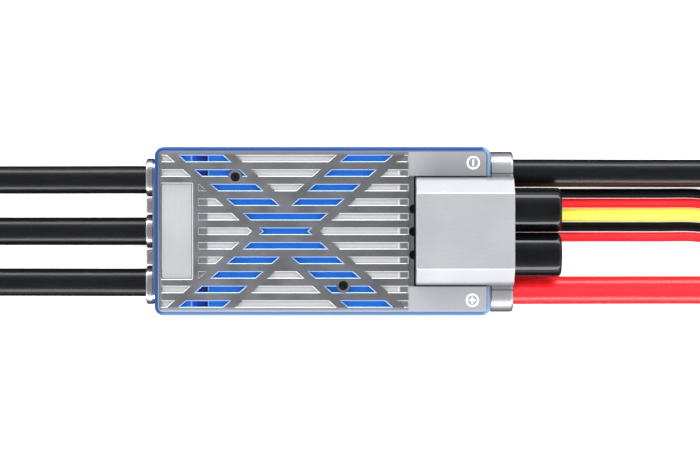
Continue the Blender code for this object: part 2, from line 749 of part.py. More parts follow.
def wire_tie():
    low, high = HANK_LIFT - GAP, HANK_LIFT + 2 * HANK_LAYER + HANK_SLACK + GAP
    near, far = HANK_LOW_Y - GAP, HANK_HIGH_Y + GAP
    inside = rounded_rectangle(near, far, low, high, 0.9, 3)
    outside = rounded_rectangle(
        near - TIE_THICK, far + TIE_THICK, low - TIE_THICK + 0.05, high + TIE_THICK, 1.5, 3
    )
    left, right = TIE_X - TIE_WIDTH / 2, TIE_X + TIE_WIDTH / 2
    tie = prism("wire_tie", outside, left, right, "tie_black", "X")
    combine(tie, [prism("wire_tie_inside", inside, left - 1, right + 1, None, "X")])


def plugs():
    """Three-pin sockets on 2.54 mm centres, with pin holes at the free end and latch windows on top."""
    bottom = HANK_LAYER + GAP
    top = bottom + PLUG_HEIGHT
    right = PLUG_LEFT + PLUG_LENGTH
    for name, y in PLUG_Y.items():
        body = box(
            name,
            (PLUG_LEFT, y - PLUG_WIDTH / 2, bottom),
            (right, y + PLUG_WIDTH / 2, top),
            "plug_black",
        )
        bevel(body, 0.25)
        pins = [y + (i - 1) * PIN_PITCH for i in range(3)]
        middle, half = (bottom + top) / 2, PIN_HOLE / 2
        end, latch = PLUG_LEFT + PIN_DEPTH, PLUG_LEFT + LATCH_AT
        holes = [((PLUG_LEFT - 1, p - half, middle - half), (end, p + half, middle + half)) for p in pins]
        latches = [((latch, p - 0.7, top - 0.5), (latch + LATCH_LENGTH, p + 0.7, top + 1)) for p in pins]
        combine(body, [boxes(name + "_pin_holes", holes), boxes(name + "_latches", latches)])


def rounded_corner(before, corner, after, cut, steps=5):
    """Points that replace a corner by a curve starting and ending cut away from it."""
    corner = Vector(corner)
    start = corner + (Vector(before) - corner).normalized() * cut
    end = corner + (Vector(after) - corner).normalized() * cut
    points = []
    for i in range(steps + 1):
        t = i / steps
        points.append(tuple(start * (1 - t) ** 2 + corner * 2 * t * (1 - t) + end * t * t))
    return points


def hood_arch(inset, bottom):
    """The hood's section: upright sides, sloping shoulders and a flat top."""
    half, top = HOOD_HALF - inset, HOOD_TOP - inset
    flat, eave = HOOD_FLAT - 0.45 * inset, HOOD_EAVE - 0.4 * inset
    foot, low, high, crown = (half, bottom), (half, eave), (flat, top), (0, top)
    right = [foot, *rounded_corner(foot, low, high, 1.7), *rounded_corner(low, high, crown, 0.5)]
    return right + [(-y, z) for y, z in reversed(right)]


def capacitor_hood():
    hood = prism(
        "capacitor_hood", hood_arch(0, HOOD_BOTTOM), HOOD_LEFT, HOOD_RIGHT, "silver", "X"
    )
    bevel(hood, 0.35, 2)
    inside = hood_arch(HOOD_WALL, HOOD_BOTTOM - 1)
    combine(hood, [prism("hood_inside", inside, HOOD_LEFT + HOOD_WALL, HOOD_RIGHT + 1, None, "X")])


def capacitors():
    """Each is an aluminium can in a heat-shrink sleeve that curls over the can's free end."""
    length = CAP_RIGHT - CAP_LEFT
    wall, lip = 0.15, 1.3
    can = CAP_RADIUS - wall - GAP
    can_profile = [
        (0, length - 0.9),
        (can - 0.7, length - 0.9),
        (can, length - 1.6),
        (can, 4.2),
        (can - 0.5, 3.7),
        (can - 0.5, 3.3),
        (can, 2.8),
        (can, 0.8),
        (can - 0.6, 0.2),
        (0, 0.2),
    ]
    outer = CAP_RADIUS
    sleeve_profile = [
        (outer - lip, length),
        (outer - 0.5, length - 0.15),
        (outer, length - 0.8),
        (outer, 0),
        (outer - wall, 0),
        (outer - wall, length - 0.85),
        (outer - 0.6, length - 0.45),
        (outer - lip, length - 0.3),
    ]
    for number, y in enumerate(CAP_Y, 1):
        place = (CAP_LEFT, y, CAP_Z)
        turned(f"capacitor_can_{number}", can_profile, "bright_silver", place, ALONG_X, 20)
        turned(
            f"capacitor_sleeve_{number}", sleeve_profile, "sleeve_black", place, ALONG_X, 28, cyclic=True
        )


def screws():
    for number, (x, y) in enumerate(COVER_SCREWS, 1):
        top, bottom, shank = COVER_TOP - 0.35, SPREADER_BOTTOM - 0.2, 0.55
        neck = top - 1.4
        profile = [
            (0, top), (SCREW_HEAD, top), (SCREW_HEAD, neck), (shank, neck), (shank, bottom), (0, bottom)
        ]
        screw = turned(f"cover_screw_{number}", profile, "screw_black", (x, y, 0), steps=16)
        socket = rods_along_z(f"cover_socket_{number}", [(x, y)], 0.5, top - 0.7, top + 1, sides=6)
        combine(screw, [socket])
    for number, (x, y) in enumerate(BASE_SCREWS, 1):
        top, shank, head, foot = BASE_SCREW_TOP, 0.8, 1.7, 0.15
        profile = [(0, top), (shank, top), (shank, 0.8), (head, 0.4), (head, foot), (0, foot)]
        screw = turned(f"base_screw_{number}", profile, "screw_black", (x, y, 0), steps=16)
        socket = rods_along_z(f"base_socket_{number}", [(x, y)], 0.6, -1, 0.7, sides=6)
        combine(screw, [socket])


def boards():
    prism(
        "power_board",
        rounded_rectangle(POWER_BOARD_LEFT, POWER_BOARD_RIGHT, -BOARD_HALF, BOARD_HALF, 1, 3),
        POWER_BOARD_BOTTOM,
        POWER_BOARD_TOP,
        "board_green",
    )
    low, high = CONTROL_BOARD_BOTTOM, CONTROL_BOARD_TOP
    box("control_board", (-36, -13, low), (12, 13, high), "board_green")
    box("microcontroller", (-12, -4, high + GAP), (-4, 4, 4.3), "chip_black")
    box("gate_driver", (-26, -3, high + GAP), (-21, 3, 4.3), "chip_black")
    box("capacitor_board", (15.5, -9.2, 6.6), (16.7, 9.2, 14.8), "board_green")


def power_stage():
    bottom = POWER_BOARD_TOP + GAP
    top = bottom + 1.0
    for number in range(1, 7):
        column, row = (number - 1) // 2, (number - 1) % 2
        x, y = -29.0 + 7.5 * row, 9.5 * (1 - column)
        bevel(
            box(f"mosfet_{number}", (x - 3, y - 4, bottom), (x + 3, y + 4, top), "chip_black"), 0.15
        )
    pad = top + GAP
    prism(
        "thermal_pad",
        rounded_rectangle(-33.0, -17.0, -14, 14, 1, 2),
        pad,
        SPREADER_BOTTOM - GAP,
        "thermal_grey",
    )
    bevel(box("bec_inductor", (4, -6, bottom), (10, 0, bottom + 2.2), "chip_black"), 0.3)
    for number, y in enumerate(MOTOR_LEAD_Y, 1):
        add_tab(f"phase_tab_{number}", CASE_LEFT + CASE_WALL + 1.9, 1, y, MOTOR_LEAD_Z)
    for sign, y in BATTERY_LEAD_Y.items():
        start = CASE_RIGHT - CASE_WALL - 1.9
        add_tab(f"battery_tab_{sign}", start, -1, math.copysign(12.4, y), BATTERY_LEAD_Z)


def add_tab(name, start, way, y, lead_z):
    """A copper strip that steps up from a lead's core to the top of the power board."""
    thick, top = 0.8, POWER_BOARD_TOP + GAP
    low = lead_z - 0.4
    outline = [
        (start, low),
        (start + way * 1.6, low),
        (start + way * 3.6, top),
        (start + way * 9.0, top),
        (start + way * 9.0, top + thick),
        (start + way * 3.2, top + thick),
        (start + way * 1.2, low + thick),
        (start, low + thick),
    ]
    prism(name, outline, y - 1.9, y + 1.9, "copper", "Y")


lower_case()
heat_spreader()
heatsink_cover()
nameplate()
capacitor_hood()
motor_end_block()
battery_end_block()
grommets()
leads()
thin_wires()
wire_hank()
wire_tie()
plugs()
capacitors()
screws()
boards()
power_stage()
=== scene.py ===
"""Looks of the electronic speed controller: camera, leads, wires, detailed pieces and materials.

Sizes are in millimetres unless a comment says otherwise, and each mesh is scaled to metres as it is
made. +X points from the motor end to the battery end, and +Z up.
"""

import math

import bmesh
import bpy
from mathutils import Matrix, Vector


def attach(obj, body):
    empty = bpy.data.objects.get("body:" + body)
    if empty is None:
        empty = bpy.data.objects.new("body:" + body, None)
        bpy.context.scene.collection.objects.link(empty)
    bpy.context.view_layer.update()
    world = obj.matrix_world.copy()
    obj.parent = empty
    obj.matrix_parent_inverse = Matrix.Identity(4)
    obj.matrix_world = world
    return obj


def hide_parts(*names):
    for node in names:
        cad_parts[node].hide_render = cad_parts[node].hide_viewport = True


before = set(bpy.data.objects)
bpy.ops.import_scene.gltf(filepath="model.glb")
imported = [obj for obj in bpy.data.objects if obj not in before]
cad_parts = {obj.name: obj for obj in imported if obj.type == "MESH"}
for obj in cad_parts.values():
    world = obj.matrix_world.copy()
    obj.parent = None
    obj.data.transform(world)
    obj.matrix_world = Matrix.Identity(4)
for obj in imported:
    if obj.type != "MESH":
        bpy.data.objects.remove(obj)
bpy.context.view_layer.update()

MM = 0.001
ROOT = "root"


# ---------------------------------------------------------------- camera

PICTURE_WIDTH = 157.3  # across the view, at the height of the fins' tops
FIN_TOP = 13.4
CAMERA_DISTANCE = 550.0
CAMERA_X, CAMERA_Y = -0.8, -0.4
CLIP_START, CLIP_END = 0.05, 20.0  # metres
SENSOR = 36.0

camera_data = bpy.data.cameras.new("camera")
camera_data.sensor_width = SENSOR
camera_data.lens = SENSOR * CAMERA_DISTANCE / PICTURE_WIDTH
camera_data.clip_start, camera_data.clip_end = CLIP_START, CLIP_END
camera = bpy.data.objects.new("camera", camera_data)
camera.location = Vector((CAMERA_X, CAMERA_Y, FIN_TOP + CAMERA_DISTANCE)) * MM
bpy.context.scene.collection.objects.link(camera)
bpy.context.scene.camera = camera


# ---------------------------------------------------------------- mesh helpers

SHARP = 35.0  # degrees; edges that turn by more stay sharp
CURVE_STEPS = 40  # fine points per stretch of a curve, before they are spaced evenly
END_EASE = 0.12  # of a tube's radius: how far its ends are rounded


def add_piece(name, mesh, replaced=(), body=ROOT):
    """Links a mesh as a piece on a body, and hides the CAD nodes that it stands for."""
    piece = bpy.data.objects.new(name, mesh)
    bpy.context.scene.collection.objects.link(piece)
    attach(piece, body)
    if replaced:
        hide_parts(*replaced)
    return piece


def finished_mesh(name, bm, sharp=SHARP):
    """A mesh in metres from a bmesh in millimetres, smooth apart from its sharp edges."""
    bmesh.ops.scale(bm, vec=(MM, MM, MM), verts=bm.verts)
    bmesh.ops.recalc_face_normals(bm, faces=bm.faces)
    mesh = bpy.data.meshes.new(name)
    bm.to_mesh(mesh)
    bm.free()
    mesh.shade_smooth()
    mesh.set_sharp_from_angle(angle=math.radians(sharp))
    return mesh


def arc(centre, radius, start, end, steps):
    """Points along an arc, angles in degrees."""
    angles = [math.radians(start + (end - start) * i / steps) for i in range(steps + 1)]
    return [(centre[0] + radius * math.cos(a), centre[1] + radius * math.sin(a)) for a in angles]


def add_rings(bm, rings, closed=True, caps=True):
    """Skins rings of equally many points, and caps the first and last with a face each."""
    loops = [[bm.verts.new(point) for point in ring] for ring in rings]
    count = len(loops[0])
    for low, high in zip(loops, loops[1:]):
        for i in range(count if closed else count - 1):
            j = (i + 1) % count
            bm.faces.new((low[i], low[j], high[j], high[i]))
    if caps:
        bm.faces.new(reversed(loops[0]))
        bm.faces.new(loops[-1])
    return loops


def smooth_line(points, spacing):
    """Points every spacing along a Catmull-Rom curve through the given ones."""
    points = [Vector(p) for p in points]
    padded = [2 * points[0] - points[1], *points, 2 * points[-1] - points[-2]]
    fine = []
    for a, b, c, d in zip(padded, padded[1:], padded[2:], padded[3:]):
        for i in range(CURVE_STEPS):
            t = i / CURVE_STEPS
            fine.append(
                0.5 * (2 * b + (c - a) * t + (2 * a - 5 * b + 4 * c - d) * t * t
                       + (3 * b - a - 3 * c + d) * t * t * t)
            )
    fine.append(points[-1])
    total = sum((b - a).length for a, b in zip(fine, fine[1:]))
    count = max(2, round(total / spacing))
    line, walked, at = [fine[0]], 0.0, 1
    for a, b in zip(fine, fine[1:]):
        step = (b - a).length
        while at < count and walked + step >= total * at / count:
            line.append(a.lerp(b, (total * at / count - walked) / step))
            at += 1
        walked += step
    return line + [fine[-1]]


def frames_along(line):
    """(place, side, up) at each point, turned as little as possible from one to the next."""
    frames = []
    side = Vector((0, 1, 0))
    for i, place in enumerate(line):
        ahead = (line[min(i + 1, len(line) - 1)] - line[max(i - 1, 0)]).normalized()
        side = (side - ahead * side.dot(ahead)).normalized()
        frames.append((place, side, ahead.cross(side)))
    return frames


def add_tube(bm, line, radius, sides):
    """A round tube along a line, with eased and capped ends."""
    frames = frames_along(line)
    rings = []
    for place, side, up in frames:
        ring = []
        for i in range(sides):
            angle = 2 * math.pi * i / sides
            ring.append(place + (side * math.cos(angle) + up * math.sin(angle)) * radius)
        rings.append(ring)
    eased = END_EASE * radius
    for end, inner in ((0, 1), (-1, -2)):
        place = frames[end][0]
        inward = (frames[inner][0] - place).normalized()
        full = [point + inward * eased for point in rings[end]]
        small = [place + (point - place) * (1 - END_EASE) for point in rings[end]]
        if end == 0:
            rings[0:1] = [small, full]
        else:
            rings[-1:] = [full, small]
    add_rings(bm, rings)


def make_cord(name, line, diameter, sides, replaced):
    """A free cord as a mesh tube along a line."""
    bm = bmesh.new()
    add_tube(bm, line, diameter / 2, sides)
    piece = add_piece(name, finished_mesh(name, bm), replaced)


# ---------------------------------------------------------------- thick leads

FLOOR_GAP = 0.05  # between what lies on the floor and the floor
LEAD_D = 6.3
LEAD_REST = LEAD_D / 2 + FLOOR_GAP
LEAD_SIDES, LEAD_SPACING = 40, 3
MOTOR_START, MOTOR_Z, MOTOR_END = -42.2, 5.0, -138.0
MOTOR_Y = (11.75, 0.0, -11.65)
BATTERY_START, BATTERY_Z, BATTERY_END = 28.3, 5.3, 147.0
BATTERY_Y = {"negative": 13.25, "positive": -13.45}
TIP_RADIUS, TIP_LENGTH = 2.2, 8.7
TIP_INSIDE = 0.3  # how far the strands start inside the insulation
TIP_NOSE, TIP_BLUNT = 1.4, 0.12  # the rounded end's length, and what is left of its section's area
STRANDS, STRAND_SIDES, TIP_STATIONS = 14, 6, 26
STRAND_DEPTH, TWIST = 0.055, 0.11  # of the radius, and in radians per millimetre
TIP_SHARP = 60


def lead_tip(name, start, way, y, node):
    """A lead's bared end: twisted strands, soldered together."""
    bm = bmesh.new()
    sides = STRANDS * STRAND_SIDES
    rings = []
    for i in range(TIP_STATIONS + 1):
        along = TIP_LENGTH * i / TIP_STATIONS
        into_nose = max(0.0, 1 - (TIP_LENGTH - along) / TIP_NOSE)
        close = math.sqrt(max(TIP_BLUNT, 1 - into_nose**2 * (1 - TIP_BLUNT)))
        ring = []
        for k in range(sides):
            angle = 2 * math.pi * k / sides
            ridge = abs(math.cos(STRANDS / 2 * angle))
            lumps = 0.012 * math.sin(3 * angle + along * 1.7) + 0.01 * math.sin(along * 2.9)
            radius = TIP_RADIUS * close * (0.98 - STRAND_DEPTH * (1 - ridge) + lumps)
            turned = angle + TWIST * along
            across, up = radius * math.cos(turned), radius * math.sin(turned)
            ring.append((start + way * along, y + across, LEAD_REST + up))
        rings.append(ring)
    add_rings(bm, rings)
    return add_piece(name, finished_mesh(name, bm, TIP_SHARP), [node])


def thick_lead(kind, which, route, way):
    """A lead along its route, with its bared tip beyond the route's end."""
    end_x, y = route[-1][:2]
    tip = lead_tip(
        f"{kind}_tip_{which}", end_x - way * TIP_INSIDE, way, y, f"{kind}_lead_tip_{which}"
    )
    line = smooth_line(route, LEAD_SPACING)
    make_cord(
        f"{kind}_cable_{which}", line, LEAD_D, LEAD_SIDES,
        [f"{kind}_lead_{which}"],
    )


def thick_leads():
    """The leads leave the collars level, sink to the floor and lie along it."""
    for number, y in enumerate(MOTOR_Y, 1):
        route = [
            (MOTOR_START, y, MOTOR_Z),
            (MOTOR_START - 6, y, MOTOR_Z),
            (MOTOR_START - 12, y, MOTOR_Z - 0.1),
            (MOTOR_START - 30, y, LEAD_REST + 0.15),
            (MOTOR_START - 42, y, LEAD_REST),
            (MOTOR_START - 60, y, LEAD_REST),
            (MOTOR_START - 78, y, LEAD_REST),
            (MOTOR_END, y, LEAD_REST),
        ]
        thick_lead("motor", number, route, -1)
    for sign, y in BATTERY_Y.items():
        route = [
            (BATTERY_START, y, BATTERY_Z),
            (BATTERY_START + 10, y, BATTERY_Z),
            (BATTERY_START + 16, y, BATTERY_Z - 0.15),
            (BATTERY_START + 36, y, LEAD_REST + 0.15),
            (BATTERY_START + 50, y, LEAD_REST),
            (BATTERY_START + 70, y, LEAD_REST),
            (BATTERY_START + 92, y, LEAD_REST),
            (BATTERY_END, y, LEAD_REST),
        ]
        thick_lead("battery", sign, route, 1)


thick_leads()


# ---------------------------------------------------------------- thin wires, folded in a tied hank

# name, diameter, Y where they leave, Y in the hank, Y at the plug, plug, slot
THIN_WIRES = (
    ("throttle_wire_ground", 2.1, 8.72, 7.32, 7.54, "throttle_plug", "wire_black"),
    ("throttle_wire_power", 2.1, 6.45, 5.05, 5.0, "throttle_plug", "wire_red"),
    ("throttle_wire_signal", 2.9, 3.78, 2.38, 2.46, "throttle_plug", "wire_yellow"),
    ("bec_wire_ground", 2.1, 1.05, -0.35, -0.44, "bec_plug", "wire_black"),
    ("bec_wire_power", 2.1, -1.3, -2.7, -2.98, "bec_plug", "wire_red"),
)
WIRE_Z = 3.1
WIRE_SIDES, WIRE_SPACING = 18, 1.6
FOLD_X, FOLD_RADIUS, FOLD_STEPS = 147.5, 7.0, 6
DROP_STEPS = 5  # points on the way down from the fold to the strap
TIE_LEFT, TIE_RIGHT = 106.5, 113.5
TIE_LIFT, TIE_PILE = 1.0, 0.25  # the wires' lift by the strap, and the gap between their two layers
PLUG_RIGHT, PLUG_MIDDLE = 103.3, 4.5
PLUG_WIRE_RADIUS = 1.3  # a wire with a larger one stops at the plug's face
INTO_PLUG, AT_FACE = 2.5, 0.1


def wire_route(radius, y, hank_y, plug_y):
    """Out of the case, along the floor, back over itself at the fold and into the plug."""
    rest = radius + FLOOR_GAP
    upper = TIE_LIFT + 3 * radius + TIE_PILE
    into_plug = INTO_PLUG if radius < PLUG_WIRE_RADIUS else AT_FACE
    route = [
        (27.4, y, WIRE_Z),
        (34.0, y, WIRE_Z),
        (38.0, y, WIRE_Z - 0.05),
        (52.0, y, rest + 0.1),
        (60.0, y, rest),
        (70.0, y, rest),
        (78.0, y, rest),
        (83.0, (y + hank_y) / 2, rest),
        (88.0, hank_y, rest),
        (95.0, hank_y, rest),
        (101.0, hank_y, rest),
        (TIE_LEFT, hank_y, rest + TIE_LIFT),
        ((TIE_LEFT + TIE_RIGHT) / 2, hank_y, rest + TIE_LIFT),
        (TIE_RIGHT, hank_y, rest + TIE_LIFT),
        (119.0, hank_y, rest),
        (129.0, hank_y, rest),
        (139.0, hank_y, rest),
    ]
    for x, z in arc((FOLD_X, rest + FOLD_RADIUS), FOLD_RADIUS, -90, 90, FOLD_STEPS):
        route.append((x, hank_y, z))
    top = rest + 2 * FOLD_RADIUS
    for i in range(1, DROP_STEPS + 1):
        t = i / DROP_STEPS
        drop = 0.5 - 0.5 * math.cos(math.pi * t)
        route.append((FOLD_X + (TIE_RIGHT - FOLD_X) * t, hank_y, top + (upper - top) * drop))
    route += [
        ((TIE_LEFT + TIE_RIGHT) / 2, hank_y, upper),
        (TIE_LEFT, hank_y, upper - 0.1),
        (PLUG_RIGHT + 0.4, plug_y, PLUG_MIDDLE + 0.05),
        (PLUG_RIGHT - into_plug, plug_y, PLUG_MIDDLE),
    ]
    return route


def thin_wires():
    """All five. The first one also stands for the CAD's hank."""
    for i, (name, diameter, y, hank_y, plug_y, plug, slot) in enumerate(THIN_WIRES):
        line = smooth_line(wire_route(diameter / 2, y, hank_y, plug_y), WIRE_SPACING)
        make_cord(
            name.replace("wire", "cable"), line, diameter, WIRE_SIDES,
            [name] if i else [name, "wire_hank"],
        )


thin_wires()


# ---------------------------------------------------------------- hood

HOOD_LEFT, HOOD_RIGHT = 13.9, 36.0
HOOD_HALF, HOOD_TOP, HOOD_BOTTOM = 12.3, 18.2, 10.05
HOOD_FLAT, HOOD_EAVE, HOOD_WALL = 8.35, 13.9, 1.2
EAVE_CUT, EDGE_CUT = 1.7, 0.5  # how much of its two folds' corners is rounded off
FRONT_EASE, RIM_EASE, EASED_ANGLE = 0.4, 0.18, 60


def rounded_corner(before, corner, after, cut, steps=10):
    """Points that replace a corner by a curve starting and ending cut away from it."""
    corner = Vector(corner)
    start = corner + (Vector(before) - corner).normalized() * cut
    end = corner + (Vector(after) - corner).normalized() * cut
    return [
        tuple(start * (1 - t) ** 2 + corner * 2 * t * (1 - t) + end * t * t)
        for t in (i / steps for i in range(steps + 1))
    ]


def ease_edges(piece, name, width, segments):
    """Rounds a piece's sharp edges."""
    eased = piece.modifiers.new(name, "BEVEL")
    eased.width, eased.segments = width * MM, segments
    eased.limit_method, eased.angle_limit = "ANGLE", math.radians(EASED_ANGLE)


def hood():
    """A folded sheet-metal arch with a closed front, thickened inwards."""
    foot, eave = (HOOD_HALF, HOOD_BOTTOM), (HOOD_HALF, HOOD_EAVE)
    edge, crown = (HOOD_FLAT, HOOD_TOP), (0.0, HOOD_TOP)
    right = [foot, (HOOD_HALF, (HOOD_BOTTOM + HOOD_EAVE) / 2 - 1)]
    right += rounded_corner(foot, eave, edge, EAVE_CUT)
    right += rounded_corner(eave, edge, crown, EDGE_CUT, 6)
    right += [(HOOD_FLAT * 0.6, HOOD_TOP), (HOOD_FLAT * 0.2, HOOD_TOP)]
    outline = right + [(-y, z) for y, z in reversed(right)]
    bm = bmesh.new()
    stations = (HOOD_LEFT, HOOD_LEFT + 2, 20.0, 25.0, 30.0, HOOD_RIGHT - 2, HOOD_RIGHT)
    sections = [[(x, y, z) for y, z in outline] for x in stations]
    loops = add_rings(bm, sections, closed=False, caps=False)
    front = bm.faces.new(reversed(loops[0]))
    bmesh.ops.recalc_face_normals(bm, faces=bm.faces)
    if front.normal.x > 0:
        bmesh.ops.reverse_faces(bm, faces=bm.faces)
    bmesh.ops.scale(bm, vec=(MM, MM, MM), verts=bm.verts)
    mesh = bpy.data.meshes.new("hood_shell")
    bm.to_mesh(mesh)
    bm.free()
    mesh.shade_smooth()
    piece = add_piece("hood_shell", mesh, ["capacitor_hood"])
    ease_edges(piece, "front_edge", FRONT_EASE, 3)
    wall = piece.modifiers.new("wall", "SOLIDIFY")
    wall.thickness, wall.offset = HOOD_WALL * MM, -1
    ease_edges(piece, "rim", RIM_EASE, 2)
    piece.modifiers.new("shading", "WEIGHTED_NORMAL").keep_sharp = True


hood()


# ---------------------------------------------------------------- capacitors

CAP_LEFT, CAP_RIGHT, CAP_RADIUS = 17.2, 46.7, 5.0
CAP_Y, CAP_Z = (4.8, -5.3), 11.7
CAP_LENGTH = CAP_RIGHT - CAP_LEFT
TURN_STEPS, TURN_SHARP = 72, 40
ON_AXIS = 0.0001  # a radius small enough to close a turned piece
SLEEVE_WALL, SLEEVE_ROLL, SLEEVE_LIP = 0.16, 0.85, 1.35
CREASE_DEPTH, CREASE_AT, CREASE_REACH = 0.05, 0.35, 1.3
CAN_INSET, CAN_ROLL, CAN_SHOULDER, CAN_END = 0.42, 0.7, 0.8, 0.95
SCORE_SIZE = (0.1, 0.09, 5.0)  # one raised edge of the pressed cross
SCORE_OFFSET, SCORE_LIFT, SCORE_EASE = 0.13, 0.02, 0.02


def turned_piece(name, profile, centre, replaced, wobble=None):
    """A closed profile of (x, radius) points turned about X. wobble(x, angle) alters the radius."""
    bm = bmesh.new()
    loops = []
    for k in range(TURN_STEPS):
        angle = 2 * math.pi * k / TURN_STEPS
        loop = []
        for x, radius in profile:
            r = radius + (wobble(x, angle) if wobble else 0.0)
            y, z = r * math.cos(angle), r * math.sin(angle)
            loop.append(bm.verts.new((centre[0] + x, centre[1] + y, centre[2] + z)))
        loops.append(loop)
    for here, after in zip(loops, loops[1:] + loops[:1]):
        for i in range(len(profile)):
            j = (i + 1) % len(profile)
            bm.faces.new((here[i], here[j], after[j], after[i]))
    bmesh.ops.remove_doubles(bm, verts=bm.verts, dist=1e-4)
    add_piece(name, finished_mesh(name, bm, TURN_SHARP), replaced)


def rolled_edge(end, radius, roll, step):
    """Profile points round the edge from a turned piece's side to its end, a step in degrees."""
    angles = (math.radians(degrees) for degrees in range(0, 91, step))
    return [(end - roll + roll * math.sin(a), radius - roll + roll * math.cos(a)) for a in angles]


def creases(x, angle):
    """Small creases where the sleeve has shrunk over the can's edge."""
    near = max(0.0, 1 - abs(x - (CAP_LENGTH - CREASE_AT)) / CREASE_REACH)
    waves = math.sin(17 * angle) * 0.6 + math.sin(29 * angle + 1) * 0.4
    return -near * CREASE_DEPTH * (1 + waves)


def capacitors():
    """Each a sleeve rolled over a can's edge, and the can with a groove near its hidden base."""
    end, inner = CAP_LENGTH, CAP_RADIUS - SLEEVE_WALL
    sleeve = [(0, CAP_RADIUS)]
    sleeve += [(end * t, CAP_RADIUS) for t in (0.2, 0.4, 0.6, 0.8)]
    sleeve += [(end - 1.6, CAP_RADIUS)]
    sleeve += rolled_edge(end, CAP_RADIUS, SLEEVE_ROLL, 15)
    sleeve += [(end - 0.02, CAP_RADIUS - SLEEVE_LIP), (end - 0.28, CAP_RADIUS - SLEEVE_LIP)]
    sleeve += [(end - 0.5, CAP_RADIUS - 0.7), (end - 1.2, inner), (0, inner)]
    radius = CAP_RADIUS - CAN_INSET
    can = [(0.3, ON_AXIS), (0.3, radius - 0.6), (0.8, radius), (2.8, radius)]
    can += [(3.05, radius - 0.35), (3.45, radius - 0.5), (3.85, radius - 0.35), (4.1, radius)]
    can += [(end - 1.9, radius), *rolled_edge(end - CAN_SHOULDER, radius, CAN_ROLL, 18)]
    can += [(end - CAN_END, radius - 1.3), (end - CAN_END, ON_AXIS)]
    for number, y in enumerate(CAP_Y, 1):
        centre = (CAP_LEFT, y, CAP_Z)
        nodes = [f"capacitor_sleeve_{number}"]
        turned_piece(f"sleeve_{number}", sleeve, centre, nodes, creases)
        nodes = [f"capacitor_can_{number}"]
        turned_piece(f"can_{number}", can, centre, nodes)
        vent_score(number, (CAP_RIGHT - CAN_END, y, CAP_Z))


def vent_score(number, centre):
    """The raised edges of the cross pressed into a can's end, where it would open."""
    bm = bmesh.new()
    for turn in (45, 135):
        for offset in (-SCORE_OFFSET, SCORE_OFFSET):
            place = (
                Matrix.Translation(centre)
                @ Matrix.Rotation(math.radians(turn), 4, "X")
                @ Matrix.Translation((SCORE_LIFT, offset, 0))
                @ Matrix.Diagonal((*SCORE_SIZE, 1))
            )
            bmesh.ops.create_cube(bm, size=1, matrix=place)
    name = f"vent_score_{number}"
    bmesh.ops.bevel(bm, geom=bm.edges[:], offset=SCORE_EASE, segments=1, affect="EDGES")
    add_piece(name, finished_mesh(name, bm))


capacitors()


# ---------------------------------------------------------------- strap round the hank

TIE_X, TIE_WIDTH = 110.0, 5.0
TIE_LOW_Y, TIE_HIGH_Y, TIE_LOW_Z, TIE_HIGH_Z = -4.55, 9.15, 0.42, 7.8
TIE_CORNER, TIE_HALF_THICK, TIE_EDGE = 1.3, 0.3, 0.15
TIE_START = 3  # points of the loop before its end, where the strap starts
TIE_SHARP = 50
TAB_HALF_X, TAB_HALF_Y, TAB_CORNER, TAB_Y = 2.3, 4.6, 1.2, 2.4
TAB_LOW, TAB_HIGH = 0.36, 0.78  # above the strap's middle


def rounded_loop(low_y, high_y, low_z, high_z, radius, steps=6):
    """A rectangle with rounded corners, counter-clockwise from its right side."""
    corners = (
        ((high_y - radius, high_z - radius), 0),
        ((low_y + radius, high_z - radius), 90),
        ((low_y + radius, low_z + radius), 180),
        ((high_y - radius, low_z + radius), 270),
    )
    loop = []
    for centre, start in corners:
        loop += arc(centre, radius, start, start + 90, steps)
    return loop


def strap():
    """A hook-and-loop strap round the hank, whose end lies over its start."""
    loop = rounded_loop(TIE_LOW_Y, TIE_HIGH_Y, TIE_LOW_Z, TIE_HIGH_Z, TIE_CORNER)
    count = len(loop)
    start = count - TIE_START
    path = [Vector((0, *loop[(start + i) % count])) for i in range(count + 1)]
    w, t, e = TIE_WIDTH / 2, TIE_HALF_THICK, TIE_EDGE
    section = (  # X and height above the strap's middle, with slightly domed faces
        (-w, -0.4 * t), (-w, 0.4 * t), (-w + e, t), (-0.4 * w, 1.05 * t), (0.4 * w, 1.05 * t),
        (w - e, t), (w, 0.4 * t), (w, -0.4 * t), (w - e, -t), (-w + e, -t),
    )
    rings = []
    for i, place in enumerate(path):
        ahead = (path[min(i + 1, count)] - path[max(i - 1, 0)]).normalized()
        out = Vector((0, ahead.z, -ahead.y))
        rings.append([Vector((TIE_X + x, place.y, place.z)) + out * high for x, high in section])
    bm = bmesh.new()
    add_rings(bm, rings)
    mesh = finished_mesh("hank_strap", bm, TIE_SHARP)
    add_piece("hank_strap", mesh, ["wire_tie"])
    tab = rounded_loop(-TAB_HALF_X, TAB_HALF_X, -TAB_HALF_Y, TAB_HALF_Y, TAB_CORNER, 5)
    top, low = TIE_HIGH_Z + TAB_HIGH, TIE_HIGH_Z + TAB_LOW
    rings = [
        [(TIE_X + x * size, TAB_Y + y * size, z) for x, y in tab]
        for z, size in ((low, 0.97), (low + 0.08, 1.0), (top - 0.1, 1.0), (top, 0.96))
    ]
    bm = bmesh.new()
    add_rings(bm, rings)
    add_piece("hank_strap_end", finished_mesh("hank_strap_end", bm, TIE_SHARP))


strap()


# ---------------------------------------------------------------- contacts in the plugs

PLUG_LEFT, PINS, PIN_PITCH = 89.3, 3, 2.54
PLUG_Y = {"throttle_plug": 5.0, "bec_plug": -2.98}
EMPTY_PIN = {"throttle_plug": None, "bec_plug": 0}
